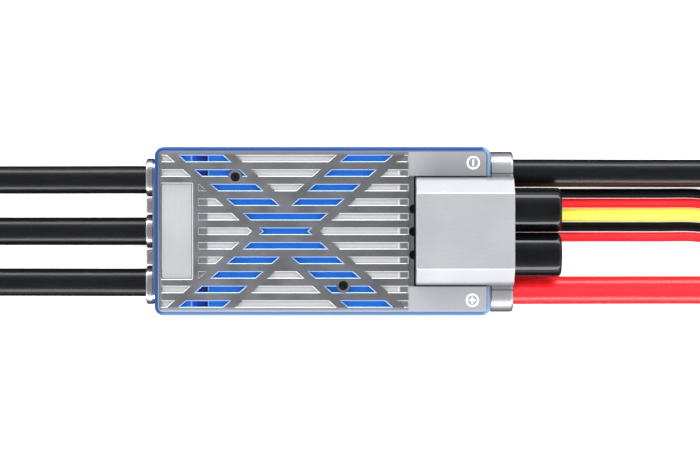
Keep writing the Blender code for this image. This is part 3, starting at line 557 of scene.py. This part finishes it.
# Two walls and a floor in the pin hole, and a tab in the latch window. Each is a low and a high
# corner: X from the plug's left end, Y from the pin's middle, Z from the floor.
CONTACT_BOXES = (
    ((0.9, -0.4, 4.1), (5.9, -0.27, 4.9)),
    ((0.9, 0.27, 4.1), (5.9, 0.4, 4.9)),
    ((0.9, -0.27, 4.1), (5.9, 0.27, 4.2)),
    ((7.3, -0.45, 5.31), (9.6, 0.45, 5.5)),
)
CONTACT_EASE = 0.03


def plug_contacts():
    """The crimped metal contacts seen in each plug's pin holes and latch windows."""
    for plug, y in PLUG_Y.items():
        bm = bmesh.new()
        for pin in range(PINS):
            if pin == EMPTY_PIN[plug]:
                continue
            middle = Vector((PLUG_LEFT, y + (pin - 1) * PIN_PITCH, 0))
            for corners in CONTACT_BOXES:
                low, high = (middle + Vector(corner) for corner in corners)
                place = Matrix.Translation((low + high) / 2) @ Matrix.Diagonal((*(high - low), 1))
                made = bmesh.ops.create_cube(bm, size=1, matrix=place)["verts"]
                edges = list({e for v in made for e in v.link_edges})
                bmesh.ops.bevel(bm, geom=edges, offset=CONTACT_EASE, segments=1, affect="EDGES")
        name = plug.replace("plug", "contacts")
        add_piece(name, finished_mesh(name, bm))


plug_contacts()


# ---------------------------------------------------------------- polarity marks

MARK_LIFT, MARK_THICK = 0.005, 0.03
MARK_RING, MARK_LINE, MARK_BAR = 1.3, 0.37, 1.6
MARK_CORNER, MARK_STEPS = 0.2, 64
MINUS_AT, PLUS_AT = (26.9, 15.4), (26.7, -15.5)


def minus_outline():
    x, y = MARK_LINE / 2, MARK_BAR / 2
    return rounded_loop(-x, x, -y, y, MARK_CORNER, 4)


def plus_outline():
    """A plus sign's outline, counter-clockwise from its right arm."""
    near, far = MARK_LINE / 2, MARK_BAR / 2
    arm = [(near, -near), (far, -near), (far, near), (near, near)]
    return [
        (x * c - y * s, x * s + y * c)
        for c, s in ((1, 0), (0, 1), (-1, 0), (0, -1))
        for x, y in arm[1:]
    ]


def polarity_mark(name, centre, outline):
    """A printed ring round a flat sign."""
    bm = bmesh.new()
    low = FIN_TOP + MARK_LIFT
    high = low + MARK_THICK
    outer, inner = MARK_RING + MARK_LINE / 2, MARK_RING - MARK_LINE / 2
    turns = [2 * math.pi * i / MARK_STEPS for i in range(MARK_STEPS)]
    rings = [
        [(centre[0] + r * math.cos(a), centre[1] + r * math.sin(a), z) for a in turns]
        for r, z in ((outer, low), (outer, high), (inner, high), (inner, low))
    ]
    add_rings(bm, rings + rings[:1], caps=False)
    bmesh.ops.remove_doubles(bm, verts=bm.verts, dist=1e-5)
    add_rings(bm, [[(centre[0] + u, centre[1] + v, z) for u, v in outline] for z in (low, high)])
    add_piece(name, finished_mesh(name, bm))


polarity_mark("minus_mark", MINUS_AT, minus_outline())
polarity_mark("plus_mark", PLUS_AT, plus_outline())


# ---------------------------------------------------------------- materials

EVEN = (1, 1, 1)


def rgb(code):
    """A linear colour from a display colour such as "8090a0"."""
    values = [int(code[i : i + 2], 16) / 255 for i in (0, 2, 4)]
    return tuple(v / 12.92 if v <= 0.04045 else ((v + 0.055) / 1.055) ** 2.4 for v in values)


class Finish:
    """A procedural material round one Principled shader."""

    def __init__(self, name, metallic=0.0, **constants):
        self.material = bpy.data.materials.new(name)
        self.material.use_nodes = True
        self.tree = self.material.node_tree
        self.shader = self.tree.nodes["Principled BSDF"]
        self.shader.inputs["Metallic"].default_value = metallic
        for socket, value in constants.items():
            self.shader.inputs[socket.replace("_", " ")].default_value = value
        self.coords = self.node("TexCoord").outputs["Object"]

    def node(self, kind, **settings):
        node = self.tree.nodes.new("ShaderNode" + kind)
        for key, value in settings.items():
            setattr(node, key, value)
        return node

    def feed(self, socket, value):
        if isinstance(value, bpy.types.NodeSocket):
            self.tree.links.new(value, socket)
        else:
            socket.default_value = value

    def math(self, operation, *values):
        node = self.node("Math", operation=operation)
        for socket, value in zip(node.inputs, values):
            self.feed(socket, value)
        return node.outputs[0]

    def place(self):
        """X, Y and Z in millimetres."""
        scaled = self.node("VectorMath", operation="SCALE")
        self.feed(scaled.inputs[0], self.coords)
        scaled.inputs["Scale"].default_value = 1 / MM
        split = self.node("SeparateXYZ")
        self.feed(split.inputs[0], scaled.outputs[0])
        return split.outputs[:]

    def facing(self):
        """The surface's own direction: X, Y and Z of its normal."""
        split = self.node("SeparateXYZ")
        self.feed(split.inputs[0], self.node("NewGeometry").outputs["True Normal"])
        return split.outputs[:]

    def range(self, value, low, high, to_low=0.0, to_high=1.0):
        """Runs from to_low, where the value is low, to to_high where it is high, no further."""
        node = self.node("MapRange")
        self.feed(node.inputs["Value"], value)
        sockets = ("From Min", "From Max", "To Min", "To Max")
        for socket, number in zip(sockets, (low, high, to_low, to_high)):
            node.inputs[socket].default_value = number
        return node.outputs[0]

    def window(self, value, low, high, soft):
        """1 where the value is between low and high, falling to 0 within soft of each."""
        rise = self.range(value, low, low + soft)
        return self.math("MULTIPLY", rise, self.range(value, high, high - soft))

    def texture(self, kind, sizes, **settings):
        """A texture node whose cells or lumps are about the given sizes, in millimetres."""
        mapping = self.node("Mapping")
        self.feed(mapping.inputs["Vector"], self.coords)
        mapping.inputs["Scale"].default_value = [1 / (MM * size) for size in sizes]
        texture = self.node(kind, **settings)
        self.feed(texture.inputs["Vector"], mapping.outputs[0])
        texture.inputs["Scale"].default_value = 1.0
        return texture

    def noise(self, size, detail=2.0, stretch=EVEN):
        """Noise whose lumps are about size millimetres across, stretched along the given axes."""
        noise = self.texture("TexNoise", [size * s for s in stretch])
        noise.inputs["Detail"].default_value = detail
        return noise.outputs[0]

    def mix(self, factor, a, b):
        node = self.node("Mix", data_type="RGBA")
        self.feed(node.inputs[0], factor)
        for socket, colour in ((node.inputs[6], a), (node.inputs[7], b)):
            self.feed(socket, colour if isinstance(colour, bpy.types.NodeSocket) else (*colour, 1))
        return node.outputs[2]

    def ramp(self, factor, stops):
        """A colour by (position, colour) stops, with straight runs between them."""
        node = self.node("ValToRGB")
        elements = node.color_ramp.elements
        elements[0].position, elements[1].position = stops[0][0], stops[-1][0]
        elements[0].color, elements[1].color = (*stops[0][1], 1), (*stops[-1][1], 1)
        for position, colour in stops[1:-1]:
            elements.new(position).color = (*colour, 1)
        self.feed(node.inputs[0], factor)
        return node.outputs[0]

    def colour(self, value):
        self.feed(self.shader.inputs["Base Color"], value)

    def rough(self, value):
        self.feed(self.shader.inputs["Roughness"], value)

    def bump(self, height, distance):
        """Bumps the surface by height, which runs from 0 to 1, times distance in millimetres."""
        node = self.node("Bump")
        node.inputs["Strength"].default_value = 1.0
        node.inputs["Distance"].default_value = distance * MM
        self.feed(node.inputs["Height"], height)
        self.feed(self.shader.inputs["Normal"], node.outputs[0])
        return self

    def speckled(self, a, b, size):
        """A colour that wanders between two, in patches of about size millimetres."""
        return self.mix(self.range(self.noise(size), 0.3, 0.7), rgb(a), rgb(b))

    def uneven(self, size, low, high):
        """A roughness that wanders between two, in patches of about size millimetres."""
        self.rough(self.range(self.noise(size), 0.3, 0.7, low, high))


# Where the looks of the cover and the case change, from part.py's sizes
CROSS_X, CROSS_SLOPE = -15.3, 1.113  # the cross's middle, and its arms' X per Y
SLOT_REACH, SLOT_SOFT = 4.88, 1.0  # the slots' half width along X, and a margin round it
COVER_BOTTOM = 10.7
GROOVE_FLOORS = (11.9, 12.3)
STEP_HIGHLIGHT = (10.0, 10.5)  # painted highlight: a white line at the edge of the grooves' right-hand shelves
SHELF = (-35.3, -32.7)  # the left-hand shelves beside the nameplate
GROOVE_HALF, GROOVE_END = 17.5, -26.0  # past these, a chamfer is the cover's outer one
RIM_SIDE, RIM_END = (16.9, 17.9), (-42.9, -43.8)
PLAIN_X, PLAIN_Y = (12.2, 12.6), (12.3, 12.6)  # the strips without grooves beside the hood
OUTER_RIGHT = (29.0, 29.2)
DIP_LEFT, DIP_RIGHT = -36.6, -32.85  # the blue spreader dips under the slots' left ends
# painted highlights: light lines along the two edges of the dip
DIP_HIGHLIGHTS = (-36.6, -32.82)
CASE_HALF = 18.9
SPREADER_TOP = (10.35, 10.39)
SPREADER_DIP = (9.3, 9.4)
# Colours of the cover's floors by height: the trench, the grooves, the shelves, the fins
FLOORS = (
    (COVER_BOTTOM, "7c7e81"), (11.5, "84868a"), (11.8, "d6d6da"), (12.5, "d6d6da"),
    (12.6, "75767a"), (FIN_TOP, "77787c"),
)


def cover_floors(finish, x, z):
    """Colour of the cover's cut floors, by their height, with a painted highlight: a white line
    where the groove floors step up to the right-hand shelves.
    """
    depth = FIN_TOP - COVER_BOTTOM
    stops = [((height - COVER_BOTTOM) / depth, rgb(code)) for height, code in FLOORS]
    floors = finish.ramp(finish.range(z, COVER_BOTTOM, FIN_TOP), stops)
    low, high = GROOVE_FLOORS
    # painted highlight: white on the groove floors just before the right-hand shelves
    lit = finish.math(
        "MULTIPLY", finish.window(x, *STEP_HIGHLIGHT, 0.1), finish.window(z, low, high, 0.1)
    )
    return finish.mix(lit, floors, rgb("ffffff"))


def cover_tops(finish, x, y, side):
    """Colour of the fins' tops: painted shade darker to the right, with a lighter rim and plain
    strips that carry painted light and shade.
    """
    mottle = finish.noise(7.0, 3.0)
    top = finish.mix(finish.range(mottle, 0.35, 0.65), rgb("58595c"), rgb("6c6d71"))
    # painted shade: the tops darken towards the right
    right = finish.range(x, -25.0, 12.0)
    top = finish.mix(finish.math("MULTIPLY", right, 0.55), top, rgb("4d4e51"))
    # painted light and shade: the rim lighter at the bottom than at the top, its left end painted
    # dark
    rim_end = finish.range(x, *RIM_END)
    rim = finish.math("MAXIMUM", finish.range(side, *RIM_SIDE), rim_end)
    rim_light_and_shade = finish.mix(finish.range(y, -1.0, 1.0), rgb("9c9da2"), rgb("7a7b80"))
    top = finish.mix(rim, top, finish.mix(rim_end, rim_light_and_shade, rgb("4c4f59")))
    # painted shadow of the hood: the plain strips darken towards it; painted light: the lower strip
    # is lighter than the upper one
    plain = finish.math("MULTIPLY", finish.range(x, *PLAIN_X), finish.range(side, *PLAIN_Y))
    upper = finish.mix(finish.range(y, 12.6, 17.5), rgb("848589"), rgb("9c9da2"))
    lower = finish.mix(finish.range(y, -17.8, -12.6), rgb("aaabaf"), rgb("9d9ea2"))
    plain_colour = finish.mix(finish.range(y, 1.0, -1.0), upper, lower)
    near_trench = finish.range(x, 19.0, 12.4, 0.0, 0.5)
    plain_colour = finish.mix(near_trench, plain_colour, rgb("b2b3b7"))
    return finish.mix(plain, top, plain_colour)


def cover_edges(finish, x, y, side, normal):
    """Colour of the cover's chamfers and walls, painted light and shade by the way they face:
    bluish beside the slots.
    """
    nx, ny, nz = normal
    across = finish.math("ABSOLUTE", finish.math("SUBTRACT", x, CROSS_X))
    across = finish.math("SUBTRACT", across, finish.math("MULTIPLY", side, CROSS_SLOPE))
    across = finish.math("ABSOLUTE", across)
    by_slot = finish.range(across, SLOT_REACH + SLOT_SOFT, SLOT_REACH + 0.8 * SLOT_SOFT)
    past_end = finish.math("SUBTRACT", GROOVE_END, x)
    inside = finish.range(
        finish.math("MAXIMUM", side, past_end), GROOVE_HALF, GROOVE_HALF - 0.1
    )
    by_slot = finish.math("MULTIPLY", by_slot, inside)
    # painted light and shade: lit and shaded copies of the chamfer colour, chosen by the way each
    # chamfer faces
    lit = finish.mix(by_slot, rgb("e9e9ec"), rgb("b4d6fb"))
    shaded = finish.mix(by_slot, rgb("b4b5b8"), rgb("7f9fd6"))
    shaded_left_end = finish.mix(by_slot, rgb("66676b"), rgb("8fb2e8"))
    shaded = finish.mix(finish.range(nx, 0.15, 0.3), shaded, shaded_left_end)
    # painted highlight on chamfers that face +Y and -X, short of the right-hand ends
    toward = finish.math("SUBTRACT", ny, finish.math("MULTIPLY", nx, 1.6))
    toward = finish.math("MULTIPLY", toward, finish.range(x, 11.9, 11.7))
    chamfer = finish.mix(finish.range(toward, 0.0, 0.3), shaded, lit)
    shelf = finish.window(x, *SHELF, 0.2)
    shelf = finish.math("MULTIPLY", shelf, finish.math("SUBTRACT", 1.0, by_slot))
    chamfer = finish.mix(shelf, chamfer, rgb("94959a"))
    outer = finish.math(
        "MAXIMUM", finish.math("SUBTRACT", 1.0, inside), finish.range(x, *OUTER_RIGHT)
    )
    # painted light: the outer chamfer darker at the top, lighter at the bottom
    outer_painted_light = finish.mix(finish.range(y, 17.0, -17.0), rgb("4a5f86"), rgb("7b8fac"))
    chamfer = finish.mix(outer, chamfer, outer_painted_light)
    wall = finish.mix(by_slot, rgb("b6b7bb"), rgb("5f86cf"))
    return finish.mix(finish.range(nz, 0.35, 0.45), wall, chamfer)


def cover_finish():
    """Milled aluminium: dark satin tops, bright cut floors and chamfers with painted highlights and
    shade.
    """
    finish = Finish("cover_milled", metallic=0.35)
    x, y, z = finish.place()
    normal = finish.facing()
    side = finish.math("ABSOLUTE", y)
    tops = cover_tops(finish, x, y, side)
    flat = finish.mix(finish.range(z, 13.36, 13.39), cover_floors(finish, x, z), tops)
    edges = cover_edges(finish, x, y, side, normal)
    colour = finish.mix(finish.range(normal[2], 0.9, 0.95), edges, flat)
    grain = finish.noise(0.18, 1.0)
    finish.colour(finish.mix(finish.range(grain, 0.2, 0.8, 0.0, 0.12), colour, rgb("2c2d30")))
    finish.uneven(0.9, 0.36, 0.5)
    return finish.bump(grain, 0.012)


def blue_finish():
    """Bead-blasted aluminium in deep blue anodising, with painted light and shade: its rim lighter
    towards the bottom and the right end, and the slots' blue darker across the dip, with painted
    highlights at the dip's edges.
    """
    finish = Finish("blue_anodised", metallic=0.15)
    x, y, z = finish.place()
    level = finish.range(finish.facing()[2], 0.5, 0.8)
    slot_blue = finish.speckled("1a88ff", "2490ff", 5.0)
    dip = finish.math(
        "MULTIPLY", finish.range(x, DIP_LEFT, DIP_LEFT + 0.2),
        finish.range(x, DIP_RIGHT, DIP_RIGHT - 0.1),
    )
    # painted shade: the slots' blue darkens across the dip
    deep = finish.ramp(
        finish.range(x, DIP_LEFT + 0.1, DIP_RIGHT - 0.05),
        [(0.0, rgb("1c6cf5")), (0.45, rgb("0c4cc4")), (1.0, rgb("02329a"))],
    )
    slot_blue = finish.mix(dip, slot_blue, deep)
    # painted highlight along each edge of the dip
    for line in DIP_HIGHLIGHTS:
        near = finish.math("ABSOLUTE", finish.math("SUBTRACT", x, line))
        slot_blue = finish.mix(finish.range(near, 0.2, 0.12), slot_blue, rgb("a9d4ff"))
    # painted light: the rim's top lighter towards the bottom and the right end, darker at the top
    # and the left end
    rim_painted_light = finish.range(y, CASE_HALF, -CASE_HALF, 0.03, 0.42)
    rim_painted_light = finish.math("MULTIPLY", rim_painted_light, finish.range(x, -44.2, -42.5))
    rim_painted_light = finish.math("MAXIMUM", rim_painted_light, finish.range(x, 29.0, 29.9, 0.0, 0.9))
    rim_blue = finish.mix(rim_painted_light, rgb("1a4882"), rgb("96b6cd"))
    side_blue = finish.speckled("0a3c90", "0f4aa8", 6.0)
    colour = finish.mix(level, side_blue, rim_blue)
    low, high = SPREADER_TOP
    in_slot = finish.math("MULTIPLY", finish.range(z, high, low, 1.0, 0.0), level)
    lowered = finish.math("MULTIPLY", dip, finish.range(z, *SPREADER_DIP))
    under_cover = finish.range(finish.math("ABSOLUTE", y), 17.9, 17.8)
    lowered = finish.math("MULTIPLY", lowered, under_cover)
    colour = finish.mix(finish.math("MAXIMUM", in_slot, lowered), colour, slot_blue)
    grain = finish.noise(0.16, 1.0)
    finish.colour(finish.mix(finish.range(grain, 0.2, 0.8, 0.0, 0.12), colour, rgb("0a2a66")))
    finish.uneven(1.2, 0.34, 0.46)
    return finish.bump(grain, 0.01)


def satin_aluminium(name, colours, size, metallic, rough, stretch=EVEN, sides=None):
    """Fine-grained aluminium. Its steep sides, where they have a colour, are painted darker than
    its top, as painted shade.
    """
    finish = Finish(name, metallic=metallic)
    grain = finish.noise(size, 2.0, stretch)
    wide = finish.speckled(*colours, 11.0)
    # painted shade: steep faces darken towards the given side colour
    if sides:
        wide = finish.mix(finish.range(finish.facing()[2], 0.62, 0.25), wide, rgb(sides))
    finish.colour(finish.mix(finish.range(grain, 0.25, 0.75, 0.0, 0.14), wide, rgb("74757a")))
    finish.rough(finish.range(grain, 0.3, 0.7, *rough))
    return finish.bump(grain, 0.004)


def rubber(name, dark, light, rough=(0.42, 0.55), dust=0.06, specular=0.5):
    """Silicone or PVC insulation, with a faint extrusion grain along it and a little dust."""
    finish = Finish(name, Specular_IOR_Level=specular)
    streaks = finish.noise(0.5, 2.0, (26, 1, 1))
    colour = finish.mix(finish.range(streaks, 0.3, 0.7), rgb(dark), rgb(light))
    specks = finish.range(finish.noise(0.5, 3.0), 0.62, 0.75, 0.0, dust)
    finish.colour(finish.mix(specks, colour, rgb("b8b4ae")))
    finish.uneven(2.5, *rough)
    return finish.bump(streaks, 0.012)


def shrink_sleeve():
    """Glossy black sleeve, drawn slightly uneven along its length."""
    finish = Finish("sleeve_black", Specular_IOR_Level=0.4)
    finish.colour(finish.speckled("07080a", "0e0f11", 3.0))
    finish.uneven(3.0, 0.08, 0.14)
    return finish.bump(finish.noise(1.6, 2.0, (3, 1, 1)), 0.008)


def strands():
    """Tinned copper strands."""
    finish = Finish("tinned_strands", metallic=0.95)
    finish.colour(finish.speckled("a9a59d", "d8d4cb", 0.7))
    finish.uneven(0.8, 0.25, 0.45)
    return finish.bump(finish.noise(0.35, 2.0, (5, 1, 1)), 0.03)


def board():
    """Black solder mask over straight copper tracks."""
    finish = Finish("board_mask", Specular_IOR_Level=0.5)
    cells = finish.texture("TexVoronoi", [1.3] * 3, distance="CHEBYCHEV", feature="F1")
    tracks = finish.range(cells.outputs["Distance"], 0.38, 0.42)
    finish.colour(finish.mix(tracks, rgb("4a4d51"), rgb("3a3d40")))
    finish.uneven(4.0, 0.35, 0.5)
    return finish.bump(tracks, 0.03)


def plain_grained(name, a, b, size, rough, bump, metallic=0.0, stretch=EVEN):
    """One material whose colour and height follow the same grain."""
    finish = Finish(name, metallic=metallic)
    grain = finish.noise(size, 2.0, stretch)
    finish.colour(finish.mix(finish.range(grain, 0.3, 0.7), rgb(a), rgb(b)))
    finish.uneven(size * 4, *rough)
    return finish.bump(grain, bump)


def woven_strap():
    """Loop pile: a dense fuzz of short fibres."""
    finish = Finish("strap_pile", Sheen_Weight=0.4, Sheen_Roughness=0.5)
    loops = finish.texture("TexVoronoi", [0.32] * 3, feature="F1")
    pile = finish.range(loops.outputs["Distance"], 0.1, 0.8)
    finish.colour(finish.mix(pile, rgb("3a3a3e"), rgb("141416")))
    finish.uneven(1.0, 0.75, 0.95)
    return finish.bump(finish.range(pile, 0.0, 1.0, 1.0, 0.0), 0.12)


FINISHES = {
    "cover": cover_finish(),
    "blue": blue_finish(),
    "hood": satin_aluminium(
        "hood_satin", ("adaeb2", "b6b7bb"), 0.3, 0.45, (0.28, 0.36), (8, 1, 1), "5d5e63"
    ),
    "collar": satin_aluminium(
        "collar_bright", ("aeafb4", "b8b9be"), 2.5, 0.65, (0.18, 0.22), EVEN, "5b5c61"
    ),
    "motor_collar": satin_aluminium(
        "collar_dull", ("b4b5ba", "c2c3c8"), 2.5, 0.88, (0.2, 0.24), EVEN, "66676c"
    ),
    "plate": satin_aluminium(
        "plate_brushed", ("a5a6a9", "afb0b3"), 0.12, 0.3, (0.4, 0.5), (1, 30, 1)
    ),
    "can": satin_aluminium("can_drawn", ("b4b6ba", "cfd0d4"), 0.4, 0.9, (0.2, 0.3)),
    "silicone_black": rubber("silicone_black", "0b0c0d", "111214", (0.22, 0.28), 0.008, 0.33),
    "silicone_red": rubber("silicone_red", "ec1420", "f4202c", (0.24, 0.3), 0.01),
    "grommet": rubber("grommet_black", "101112", "1b1c1e"),
    "wire_black": rubber("wire_black", "040405", "08090a", (0.3, 0.42), 0.015, 0.15),
    "wire_red": rubber("wire_red", "f81420", "fe202c", (0.3, 0.42), 0.01),
    "wire_yellow": rubber("wire_yellow", "fff84e", "fffb5e", (0.3, 0.42), 0.02),
    "sleeve": shrink_sleeve(),
    "strands": strands(),
    "board": board(),
    "chip": plain_grained("chip_epoxy", "1a1a1c", "29292c", 0.15, (0.45, 0.6), 0.02),
    "inductor": plain_grained("inductor_ferrite", "2c2c30", "3c3c41", 0.4, (0.6, 0.8), 0.05),
    "pad": plain_grained("thermal_pad", "8b9096", "9aa0a6", 0.5, (0.8, 0.95), 0.05),
    "screw": plain_grained("screw_black_oxide", "26272a", "3a3b3f", 0.3, (0.3, 0.45), 0.01, 0.8),
    "copper": plain_grained(
        "copper_tab", "b8683e", "d08555", 0.5, (0.25, 0.4), 0.01, 1.0, (8, 1, 1)
    ),
    "plug": plain_grained("plug_nylon", "131315", "1e1e21", 0.25, (0.4, 0.55), 0.015),
    "contact": plain_grained("contact_tin", "b9b6ae", "d6d3ca", 0.3, (0.2, 0.35), 0.01, 1.0),
    "strap": woven_strap(),
    "print": plain_grained("print_white", "f4f4f6", "ffffff", 0.2, (0.5, 0.7), 0.004),
}


# The starts of the names of CAD nodes and pieces, and their finish. The first that fits counts.
LOOKS = (
    (("heatsink_cover",), "cover"),
    (("lower_case", "heat_spreader"), "blue"),
    (("hood_shell", "capacitor_hood"), "hood"),
    (("motor_end_block",), "motor_collar"),
    (("battery_end_block",), "collar"),
    (("nameplate",), "plate"),
    (("can_", "capacitor_can", "vent_score"), "can"),
    (("sleeve_", "capacitor_sleeve"), "sleeve"),
    (("motor_lead_tip", "battery_lead_tip", "motor_tip", "battery_tip"), "strands"),
    (("battery_lead_positive", "battery_cable_positive"), "silicone_red"),
    (("motor_lead", "battery_lead", "motor_cable", "battery_cable"), "silicone_black"),
    (("motor_grommet", "battery_grommet"), "grommet"),
    (("throttle_cable_ground", "throttle_wire_ground", "wire_hank"), "wire_black"),
    (("bec_cable_ground", "bec_wire_ground"), "wire_black"),
    (("throttle_cable_power", "throttle_wire_power"), "wire_red"),
    (("bec_cable_power", "bec_wire_power"), "wire_red"),
    (("throttle_cable_signal", "throttle_wire_signal"), "wire_yellow"),
    (("capacitor_board", "power_board", "control_board"), "board"),
    (("mosfet", "microcontroller", "gate_driver"), "chip"),
    (("bec_inductor",), "inductor"),
    (("thermal_pad",), "pad"),
    (("cover_screw", "base_screw"), "screw"),
    (("phase_tab", "battery_tab"), "copper"),
    (("throttle_plug", "bec_plug"), "plug"),
    (("throttle_contacts", "bec_contacts"), "contact"),
    (("hank_strap", "wire_tie"), "strap"),
    (("minus_mark", "plus_mark"), "print"),
)


def look_of(name):
    for starts, look in LOOKS:
        if name.startswith(starts):
            return look
    raise ValueError(f"no finish for {name}")


for piece in [obj for obj in bpy.data.objects if obj.type == "MESH"]:
    material = FINISHES[look_of(piece.name)].material
    if piece.material_slots:
        for place in piece.material_slots:
            place.material = material
    else:
        piece.data.materials.append(material)


# ---------------------------------------------------------------- floor, world and lights

FLOOR_HALF, FLOOR_DROP = 3000, 0.02
FLOOR_GLOW = 0.5
# Brightness of the world by the Z of the direction looked in
SKY = (
    (-0.3, 0.04), (-0.2, 1.0), (0.3, 1.25), (0.5, 1.0), (0.66, 0.55), (0.9, 0.28), (0.97, 0.26),
)
SKY_BLUE = 1.02  # blue over red and green
STRIP_SIZE, STRIP_POWER = (1.8, 0.25), 9.0  # metres, watts
OVERHEAD_SIZE, OVERHEAD_POWER = (1.6, 1.6), 26.0


def make_floor():
    """White paper, slightly lit from within, that gloss doesn't see."""
    bm = bmesh.new()
    bmesh.ops.create_grid(bm, x_segments=1, y_segments=1, size=FLOOR_HALF)
    bmesh.ops.translate(bm, verts=bm.verts, vec=(0, 0, -FLOOR_DROP))
    floor = bpy.data.objects.new("floor", finished_mesh("floor", bm))
    finish = Finish("floor_white", Specular_IOR_Level=0.1)
    finish.colour(finish.speckled("fdfdfd", "ffffff", 300.0))
    finish.rough(0.9)
    finish.shader.inputs["Emission Color"].default_value = (1, 1, 1, 1)
    finish.shader.inputs["Emission Strength"].default_value = FLOOR_GLOW
    floor.data.materials.append(finish.material)
    bpy.context.scene.collection.objects.link(floor)
    floor.visible_glossy = False


def make_world():
    """White all round above the floor, grey overhead so that flat metal stays calm, and dark below.

    Gloss sees the dark instead of the floor, which draws the edges of what curves away.
    """
    world = bpy.data.worlds.new("studio")
    bpy.context.scene.world = world
    world.use_nodes = True
    tree = world.node_tree
    background = tree.nodes["Background"]
    direction = tree.nodes.new("ShaderNodeTexCoord").outputs["Generated"]
    split = tree.nodes.new("ShaderNodeSeparateXYZ")
    tree.links.new(direction, split.inputs[0])
    height = tree.nodes.new("ShaderNodeMapRange")
    height.inputs["From Min"].default_value = -1.0
    tree.links.new(split.outputs["Z"], height.inputs["Value"])
    ramp = tree.nodes.new("ShaderNodeValToRGB")
    tree.links.new(height.outputs[0], ramp.inputs[0])
    elements = ramp.color_ramp.elements
    for element, (up, grey) in zip(elements, (SKY[0], SKY[-1])):
        element.position, element.color = (up + 1) / 2, (grey, grey, grey * SKY_BLUE, 1)
    for up, grey in SKY[1:-1]:
        elements.new((up + 1) / 2).color = (grey, grey, grey * SKY_BLUE, 1)
    tree.links.new(ramp.outputs[0], background.inputs["Color"])
    background.inputs["Strength"].default_value = 1.0


def make_light(name, place, size, power, glossy=True):
    """A rectangle of light that faces the origin, in metres and watts. Gloss may leave it out."""
    data = bpy.data.lights.new(name, "AREA")
    data.shape = "RECTANGLE"
    data.size, data.size_y = size
    data.energy = power
    light = bpy.data.objects.new(name, data)
    light.location = place
    light.rotation_euler = (-Vector(place)).to_track_quat("-Z", "Y").to_euler()
    light.visible_glossy = glossy
    bpy.context.scene.collection.objects.link(light)


make_floor()
make_world()
make_light("strip_back", (0, 0.8, 0.22), STRIP_SIZE, STRIP_POWER)
make_light("strip_front", (0, -0.8, 0.22), STRIP_SIZE, STRIP_POWER)
make_light("overhead", (0, 0.1, 1.4), OVERHEAD_SIZE, OVERHEAD_POWER, glossy=False)
bpy.context.scene.view_settings.view_transform = "Standard"
